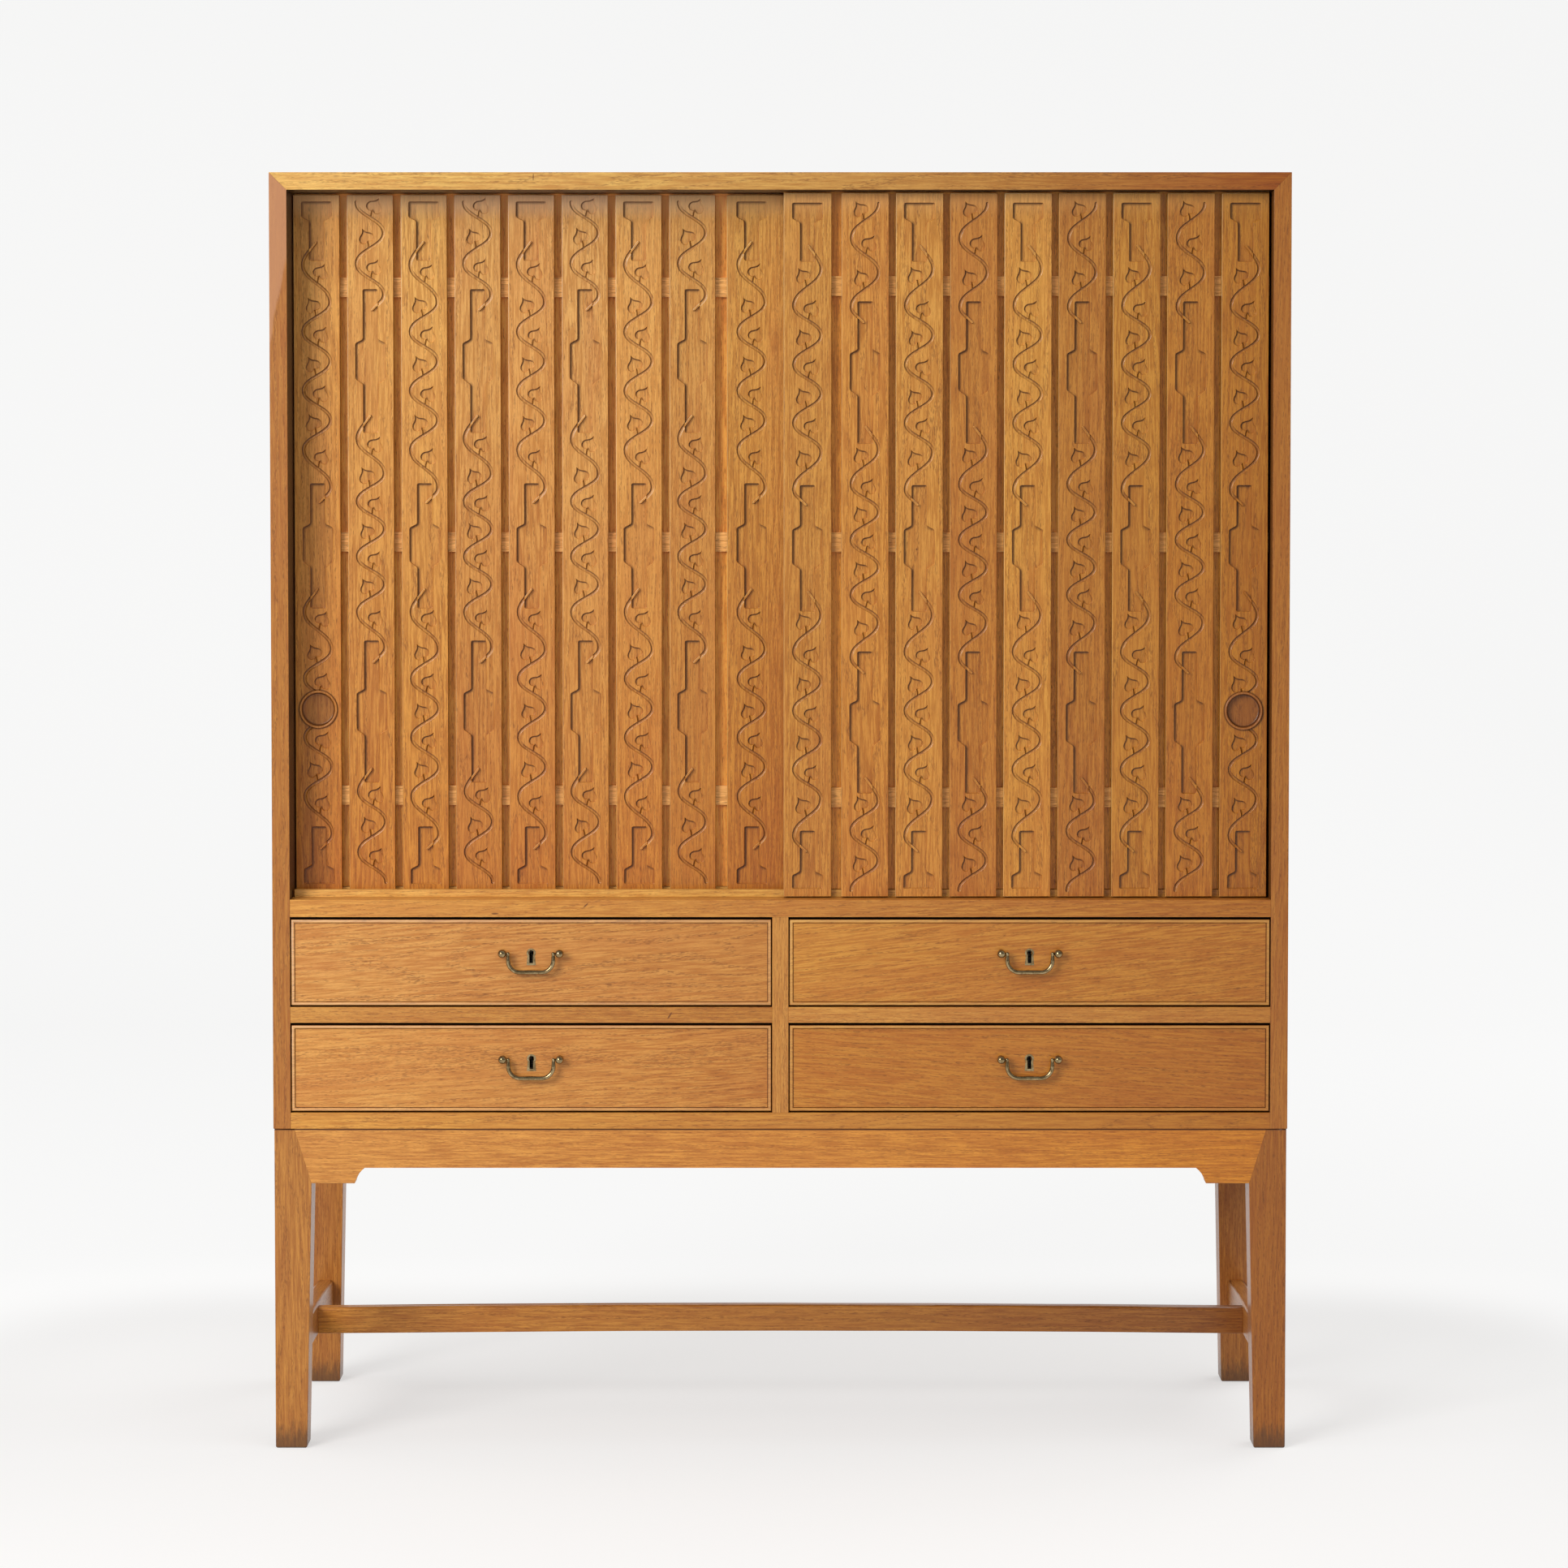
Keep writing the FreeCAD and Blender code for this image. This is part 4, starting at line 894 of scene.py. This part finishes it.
def wall_look(inward, facing, floor, run):
    """Above zero the foot of a wall darkens, a little everywhere and as painted shade where it
    faces away from the light; below zero a rim in the light gets a painted highlight.
    """
    foot_darkening = np.interp(inward, (-RIM, 0, WALL_RUN, WALL_FOOT_RUN, run), (0, 0.5, 1, 0.75, 0))
    foot_darkening *= np.maximum(step(SHADED_TO - facing), LEAST_WALL_DARKENING)
    rim = np.interp(inward, (-STEM_FADE, -RIM, WALL_RUN, WALL_FOOT_RUN), (0, 0.9, 1, 0))
    rim *= step((facing - LIT_FROM) * LIT_GAIN)
    kept = np.where(inward > ON_FLOOR, floor, 0)
    return np.where(rim > LEAST_HIGHLIGHT, -rim, np.maximum(foot_darkening, kept))


class Carving:
    """The ornament of one slat: its lines for the mesh, and how deep it is at any point."""

    def __init__(self, design, side, luck, cup=None):
        tablets, vines = DESIGNS[design]
        self.tablets = [tablet_outline(*tablet) for tablet in tablets]
        self.stems = [vine_line(vine, side) for vine in vines]
        self.leaves = [leaf for vine in vines for leaf in leaves_of(vine, side, luck)]
        self.cup = cup

    def lines(self):
        """Every line that the mesh follows, as (points, closed)."""
        made = []
        for outline in self.tablets:
            made += [(offset(outline, by, True), True) for by in TABLET_LINES]
        for stem in self.stems:
            made += [(offset(stem, by), False) for by in STEM_LINES]
            made += [(end_ring(end, radius), True) for end in (stem[0], stem[-1])
                     for radius in END_RADII]
        for outline, _ in self.leaves:
            made += [(offset(outline, -by, True), True) for by in LEAF_LINES]
        for _, petiole in self.leaves:
            made += [(offset(petiole, by * PETIOLE_HALF), False) for by in (-1, -0.5, 0, 0.5, 1)]
        if self.cup:
            height, radius = self.cup
            made += [(end_ring(np.array([0, height]), size, CUP_HOLE_POINTS), True)
                     for size in (radius - CUP_HOLE_WALL, radius, *CUP_SHADE)]
        return made

    def nearest_tablet(self, points):
        """How far outside the tablets each point is, and how the edge there faces the light."""
        edge = np.full(len(points), FAR)
        edge_facing = np.zeros(len(points))
        for outline in self.tablets:
            gap, facing, _ = distances(points, outline, True)
            gap = np.where(inside(points, outline), -gap, gap)
            edge_facing = np.where(gap < edge, facing, edge_facing)
            edge = np.minimum(edge, gap)
        return edge, edge_facing

    def nearest_stem(self, points):
        """How far from a stem each point is, and how much it lies on the side of the light."""
        stem = np.full(len(points), FAR)
        to_light = np.zeros(len(points))
        for line in self.stems:
            gap, facing, right = distances(points, line)
            to_light = np.where(gap < stem, np.where(right, facing, -facing), to_light)
            stem = np.minimum(stem, gap)
        return stem, to_light

    def depth(self, points):
        """How deep the wood is cut at each point, and the darkening, painted shade and painted
        highlight there.
        """
        edge, edge_facing = self.nearest_tablet(points)
        stem, to_light = self.nearest_stem(points)
        clear = step(edge / STEM_FADE)

        # the sunk tablets, with the stem left standing in them as a bar
        bar = step((stem - BAR_HALF) / WALL_RUN)
        cut = wall(-edge, TABLET_DEPTH) * bar
        look = wall_look(-edge, edge_facing, TABLET_FLOOR_DARKENING, SHADE_RUN) * bar
        in_tablet = edge < -0.3
        # painted shade beside the bar, away from the light, and a painted highlight along its top
        bar_side = step(1 - np.abs(stem - BAR_HALF - WALL_RUN) / WALL_RUN) * in_tablet
        look = np.maximum(look, bar_side * step(0.2 - 0.9 * to_light))
        bar_top = step(1 - np.abs(stem - BAR_HALF) / WALL_RUN) * in_tablet
        look = np.where(bar_top > 0.5, -step(0.4 + to_light), look)

        # between the tablets the stem is a groove
        cut = np.maximum(cut, STEM_DEPTH * (np.interp(stem, STEM_PLACES, STEM_CUTS) * clear))
        # painted shade on the groove wall away from the light, a painted highlight on the lit wall
        shaded = step(0.45 + 0.9 * to_light)
        lit = step(-to_light * 1.5 - 0.3)
        groove_look = (np.interp(stem, STEM_PLACES, STEM_SHADE) * shaded
                       + STEM_FLOOR_DARKENING * (stem < 1.7)
                       - np.interp(stem, STEM_PLACES, STEM_HIGHLIGHT) * lit)
        look = np.where(clear * (stem < STEM_HALF + 0.1) > 0.05, groove_look, look)

        for outline, _ in self.leaves:
            near = np.abs(points[:, 1] - outline[:, 1].mean()) < LEAF_LENGTH * 1.5
            some = points[near]
            gap, facing, _ = distances(some, outline, True)
            gap = np.where(inside(some, outline), gap, -gap)
            cut[near] = np.maximum(cut[near], wall(gap, LEAF_DEPTH) * clear[near])
            # painted shade and painted highlight round each leaf
            own = wall_look(gap, -facing, LEAF_FLOOR_DARKENING, LEAF_SHADE_RUN) * clear[near]
            look[near] = np.where(np.abs(own) > np.abs(look[near]), own, look[near])
        for _, petiole in self.leaves:
            near = np.abs(points[:, 1] - petiole[:, 1].mean()) < LEAF_LENGTH
            gap = distances(points[near], petiole)[0]
            groove = step(1 - (gap / PETIOLE_HALF) ** 2) * clear[near]
            cut[near] = np.maximum(cut[near], PETIOLE_DEPTH * groove)
            look[near] = np.maximum(look[near], PETIOLE_DARKENING * groove)
        if self.cup:
            height, radius = self.cup
            away = np.linalg.norm(points - (0, height), axis=1)
            cut = np.maximum(cut, CUP_HOLE_DEPTH * step((radius - away) / CUP_HOLE_WALL))
            # painted shade on the slat round the cup's ring
            look = np.maximum(look, np.interp(away, CUP_SHADE, (0.9, 0)))
        return cut, look


def end_ring(centre, radius, count=14):
    """A circle about a point."""
    turn = np.linspace(0, 2 * math.pi, count, endpoint=False)
    return centre + radius * np.stack([np.cos(turn), np.sin(turn)], axis=1)


def slat_boxes(node):
    """Low and high corners of each slat, in millimetres, from left to right."""
    mesh = mesh_of(joined_copy(node), "slat_boxes")
    places = places_of(mesh) / MM
    boxes = [(places[group].min(axis=0), places[group].max(axis=0)) for group in solids_of(mesh)]
    bpy.data.meshes.remove(mesh)
    return sorted(boxes, key=lambda corners: corners[0][0])


def carved_slat(name, node, low, high, centre, carving, tone, warm):
    """One slat: a carved front face with an eased arris, plain sides and back."""
    rectangle = np.array(corners_of(low, high, ARRIS))
    base = (low[2] + high[2]) / 2
    points = []
    edges = []
    for line, closed in [(rectangle - (centre, 0), True)] + carving.lines():
        start = len(points)
        points += [Vector((x, z - base)) for x, z in line]
        count = len(line)
        edges += [(start + i, start + (i + 1) % count)
                  for i in range(count if closed else count - 1)]
    verts, _, faces, *_ = delaunay_2d_cdt(points, edges, [], WHOLE_HULL, SAME_POINT)
    flat = np.array([(point.x, point.y + base) for point in verts])
    cut, look = carving.depth(flat)
    front = low[1]
    places = np.stack([flat[:, 0] + centre, front + cut, flat[:, 1]], axis=1)

    shape = bmesh.new()
    made = [shape.verts.new(Vector(place) * MM) for place in places]
    for face in faces:
        shape.faces.new([made[i] for i in face])
    corners = [min(range(len(flat)), key=lambda i: abs(places[i, 0] - x) + abs(places[i, 2] - z))
               for x, z in rectangle]
    ring = [made[i] for i in corners]
    for share in range(1, ARRIS_RINGS + 1):
        angle = share / ARRIS_RINGS * math.pi / 2
        out = ARRIS * math.sin(angle)
        down = ARRIS * (1 - math.cos(angle))
        ring = add_ring(shape, ring, low, high, ARRIS - out, front + down)
    ring = add_ring(shape, ring, low, high, 0, high[1] - ARRIS / 2)
    ring = add_ring(shape, ring, low, high, ARRIS / 2, high[1])
    shape.faces.new(ring)
    bmesh.ops.recalc_face_normals(shape, faces=shape.faces)
    mesh = mesh_of(shape, name)
    # painted highlight on the left arris, painted shade on the slat's sides and back
    sides = np.full((ARRIS_RINGS + 2, 4), SIDE_SHADE)
    sides[:ARRIS_RINGS] = ARRIS_HIGHLIGHT
    add_values(mesh, "shade_and_highlight", np.concatenate([look, sides.ravel()]))
    piece = add_object(name, mesh)
    shade(piece, SLAT_SHARP)
    give_grain(piece.data, name, tone, warm, SLAT_PAINTED_GRADIENT[node.split("_")[0]])
    dress(piece, node)


def corners_of(low, high, inset):
    """The x and z of a slat's four corners, moved inwards: left below first, left above last."""
    return [(low[0] + inset, low[2] + inset), (high[0] - inset, low[2] + inset),
            (high[0] - inset, high[2] - inset), (low[0] + inset, high[2] - inset)]


def add_ring(shape, ring, low, high, inset, y):
    """Four corners at a depth, joined to the ring before."""
    made = [shape.verts.new(Vector((x, y, z)) * MM) for x, z in corners_of(low, high, inset)]
    join_rings(shape, ring, made)
    return made


def join_rings(shape, before, after):
    """A closed band of faces between two rings with as many points."""
    for i in range(len(before)):
        j = (i + 1) % len(before)
        shape.faces.new([before[i], before[j], after[j], after[i]])


# Each slat's red, green and blue against its material, and how much of it is redder.
# Besides their own colours, the right door's slats are darker as painted shade where the lamp's
# light falls off.
SLAT_TONES = {
    "left": ((1.12, 1.06, 0.76), (1.06, 1.06, 0.86), (1.02, 1.02, 0.82), (1.02, 1.03, 0.95),
             (1.05, 1.08, 1.0), (1.08, 1.13, 1.1), (1.12, 1.18, 1.02), (1.02, 1.08, 0.9),
             (0.92, 0.9, 0.57)),
    "right": ((0.94, 0.95, 0.68), (0.95, 0.9, 0.6), (0.98, 1.0, 0.72), (0.83, 0.76, 0.46),
              (1.0, 1.03, 0.7), (0.8, 0.73, 0.42), (0.85, 0.81, 0.43), (0.83, 0.75, 0.36),
              (0.77, 0.68, 0.26)),
}
SLAT_WARMTH = {
    "left": (0.15, 0.1, 0.0, 0.1, 0.25, 0.15, 0.3, 0.35, 0.1),
    "right": (0.15, 0.1, 0.15, 0.25, 0.15, 0.2, 0.15, 0.25, 0.2),
}


def carve_doors():
    """Every slat of both doors, in place of the plain ones."""
    for door, side, cup_slat in (("left", 1, 0), ("right", -1, 8)):
        node = door + "_door_slats"
        cup_low, cup_high = (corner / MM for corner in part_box(door + "_door_cup"))
        for number, (low, high) in enumerate(slat_boxes(node)):
            centre = (low[0] + high[0]) / 2
            if (door, number) == WIDE_SLAT:
                centre = low[0] + WIDE_SLAT_MIDDLE
            cup = ((cup_low[2] + cup_high[2]) / 2, CUP_BORE) if number == cup_slat else None
            luck = random.Random("%s slat %d" % (door, number))
            carving = Carving(door + ("_a", "_b")[number % 2], side, luck, cup)
            carved_slat("%s_slat_%d" % (door, number + 1), node, low, high, centre, carving,
                        SLAT_TONES[door][number], SLAT_WARMTH[door][number])


carve_doors()


# Turned finger cups
BOWL_DEPTH = 5.5
BOWL_RADIUS = 20.9
FLOOR_ROUND = 2.6
RING_ROUND = 1.7
RIM_RADIUS = 24.3
RIM_PROUD = 3.5
BODY_RADIUS = 22.6
BODY_LENGTH = 9.6
CUP_SIDES = 96
# Painted shade and painted highlight from the floor of the bowl over the ring to the slat.
CUP_PAINTED_LIGHT = (0.15, 0.5, 0.85, 1.0, 0.95, 0.9,
            0.8, 0.55, 0.25, 0.05, -0.1, -0.15, 0.0, 0.2, 0.6, 1.0, 1.0, 1.0, 1.0)
CUP_TONES = {"left": (1.0, 0.9, 0.62), "right": (0.62, 0.5, 0.3)}
CUP_WARMTH = 0.35


def arc(centre, radius, start, end, count):
    """Points on an arc, angles in degrees."""
    turns = np.radians(np.linspace(start, end, count))
    return [(centre[0] + radius * math.cos(a), centre[1] + radius * math.sin(a)) for a in turns]


def finger_cup(door):
    """A shallow turned bowl with a rounded ring that stands proud of the slat."""
    node = door + "_door_cup"
    low, high = (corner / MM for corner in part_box(node))
    face = low[1] + RIM_PROUD
    x, z = (low[0] + high[0]) / 2, (low[2] + high[2]) / 2
    profile = arc((BOWL_RADIUS - FLOOR_ROUND, BOWL_DEPTH - FLOOR_ROUND), FLOOR_ROUND, 90, 0, 6)
    profile += arc((BOWL_RADIUS + RING_ROUND, RING_ROUND - RIM_PROUD), RING_ROUND, 180, 360, 10)
    profile += [(RIM_RADIUS, 0), (BODY_RADIUS, 0), (BODY_RADIUS, BODY_LENGTH)]
    shape = bmesh.new()
    turns = [2 * math.pi * i / CUP_SIDES for i in range(CUP_SIDES)]
    rings = [[shape.verts.new(Vector((x + radius * math.cos(turn), face + depth,
                                      z + radius * math.sin(turn))) * MM) for turn in turns]
             for radius, depth in profile]
    for before, after in zip(rings, rings[1:]):
        join_rings(shape, before, after)
    shape.faces.new(rings[0])
    shape.faces.new(rings[-1])
    bmesh.ops.recalc_face_normals(shape, faces=shape.faces)
    mesh = mesh_of(shape, door + "_finger_cup")
    add_values(mesh, "shade_and_highlight", np.repeat(CUP_PAINTED_LIGHT, CUP_SIDES))
    piece = add_object(door + "_finger_cup", mesh)
    shade(piece, ROUND_SHARP)
    give_grain(piece.data, node, CUP_TONES[door], CUP_WARMTH)
    dress(piece, node)


finger_cup("left")
finger_cup("right")


# Studio, in metres
FLOOR_HALF = 14.0
BACKDROP_AT = 7.0
BACKDROP_TOP = 12.0
COVE = 3.0
PAPER = (0.16, 0.16, 0.158, 1)
PAPER_UNDER_PART = (0.42, 0.416, 0.41, 1)
GLOW = (1, 1, 0.997, 1)
GLOW_STRENGTH = (0.8, 0.52)
BESIDE_PART = (1.6, 0.8)
BEHIND_PART = (1.3, 0.3)
SKY_LIGHT = 0.85
SKY_SHOWN = (0.9, 0.905, 0.89, 1)
LENS = 97.5
LENS_SHIFT = -0.0789
CAMERA_PLACE = (4.62 * MM, -5544.2 * MM, 1221.7 * MM)
CAMERA_TILT = math.radians(87.608)


def seamless():
    """A pale floor that turns up into a backdrop."""
    profile = ([(-FLOOR_HALF, 0.0)] + arc((BACKDROP_AT - COVE, COVE), COVE, 270, 360, 16)
               + [(BACKDROP_AT, BACKDROP_TOP)])
    shape = bmesh.new()
    columns = [[shape.verts.new((x, y, z)) for x in (-FLOOR_HALF, FLOOR_HALF)]
               for y, z in profile]
    for before, after in zip(columns, columns[1:]):
        shape.faces.new([before[0], before[1], after[1], after[0]])
    mesh = mesh_of(shape, "studio_floor")
    for polygon in mesh.polygons:
        polygon.use_smooth = True
    floor = add_object("studio_floor", mesh)
    s = Shader(bpy.data.materials.new("studio_floor"))
    rays = s.node("LightPath").outputs
    seen = s.sum("MAXIMUM", s.sum("MAXIMUM", rays["Is Camera Ray"], rays["Is Glossy Ray"]),
                 rays["Is Transmission Ray"])
    place = s.split(s.place())
    beside = s.ramp(s.sum("ABSOLUTE", place["X"]), *BESIDE_PART)
    under = s.ramp(s.times(beside, s.ramp(place["Y"], *BEHIND_PART)), 0.0, 1.0)
    paper = s.node("BsdfDiffuse", {"Color": s.mix(under, PAPER, PAPER_UNDER_PART)})
    strength = s.times(seen, s.ramp(under, 0.0, 1.0, *GLOW_STRENGTH))
    glow = s.node("Emission", {"Color": GLOW, "Strength": strength})
    both = s.node("AddShader", {0: paper.outputs[0], 1: glow.outputs[0]})
    mesh.materials.append(s.surface(both.outputs[0]))


def sky():
    """Soft light from all round, seen as near white behind and as a dim room in front."""
    s = Shader(bpy.data.worlds.new("studio"))
    rays = s.node("LightPath").outputs
    seen = s.sum("MAXIMUM", rays["Is Camera Ray"], rays["Is Glossy Ray"])
    light = s.node("Background", {"Color": (1, 1, 1, 1), "Strength": SKY_LIGHT})
    direction = s.split(s.node("TexCoord").outputs["Generated"])
    behind = s.node("MapRange", {"Value": direction["Y"], "From Min": -0.4, "From Max": 0.3,
                                 "To Min": 0.3, "To Max": 1.0})
    shown = s.node("Background", {"Color": SKY_SHOWN, "Strength": behind.outputs[0]})
    mixed = s.node("MixShader", {0: seen, 1: light.outputs[0], 2: shown.outputs[0]})
    bpy.context.scene.world = s.surface(mixed.outputs[0], "OutputWorld")


def soft_box(name, place, aim, size, power):
    """A square lamp facing a point."""
    data = bpy.data.lights.new(name, "AREA")
    data.shape = "SQUARE"
    data.size = size
    data.energy = power
    lamp = add_object(name, data)
    lamp.location = place
    lamp.rotation_euler = (Vector(aim) - Vector(place)).to_track_quat("-Z", "Y").to_euler()


def camera():
    """A long lens in front, a little above the middle."""
    data = bpy.data.cameras.new("camera")
    data.sensor_fit = "HORIZONTAL"
    data.sensor_width = 36
    data.lens = LENS
    data.shift_y = LENS_SHIFT
    view = add_object("camera", data)
    view.location = CAMERA_PLACE
    view.rotation_euler = (CAMERA_TILT, 0, 0)
    bpy.context.scene.camera = view


seamless()
sky()
soft_box("key", (-3.5, -5.0, 3.0), (0, 0, 0.8), 2.6, 245)
soft_box("fill", (3.4, 3.2, 2.6), (0, 0, 0.8), 3.0, 60)
camera()
bpy.context.scene.view_settings.view_transform = "Standard"
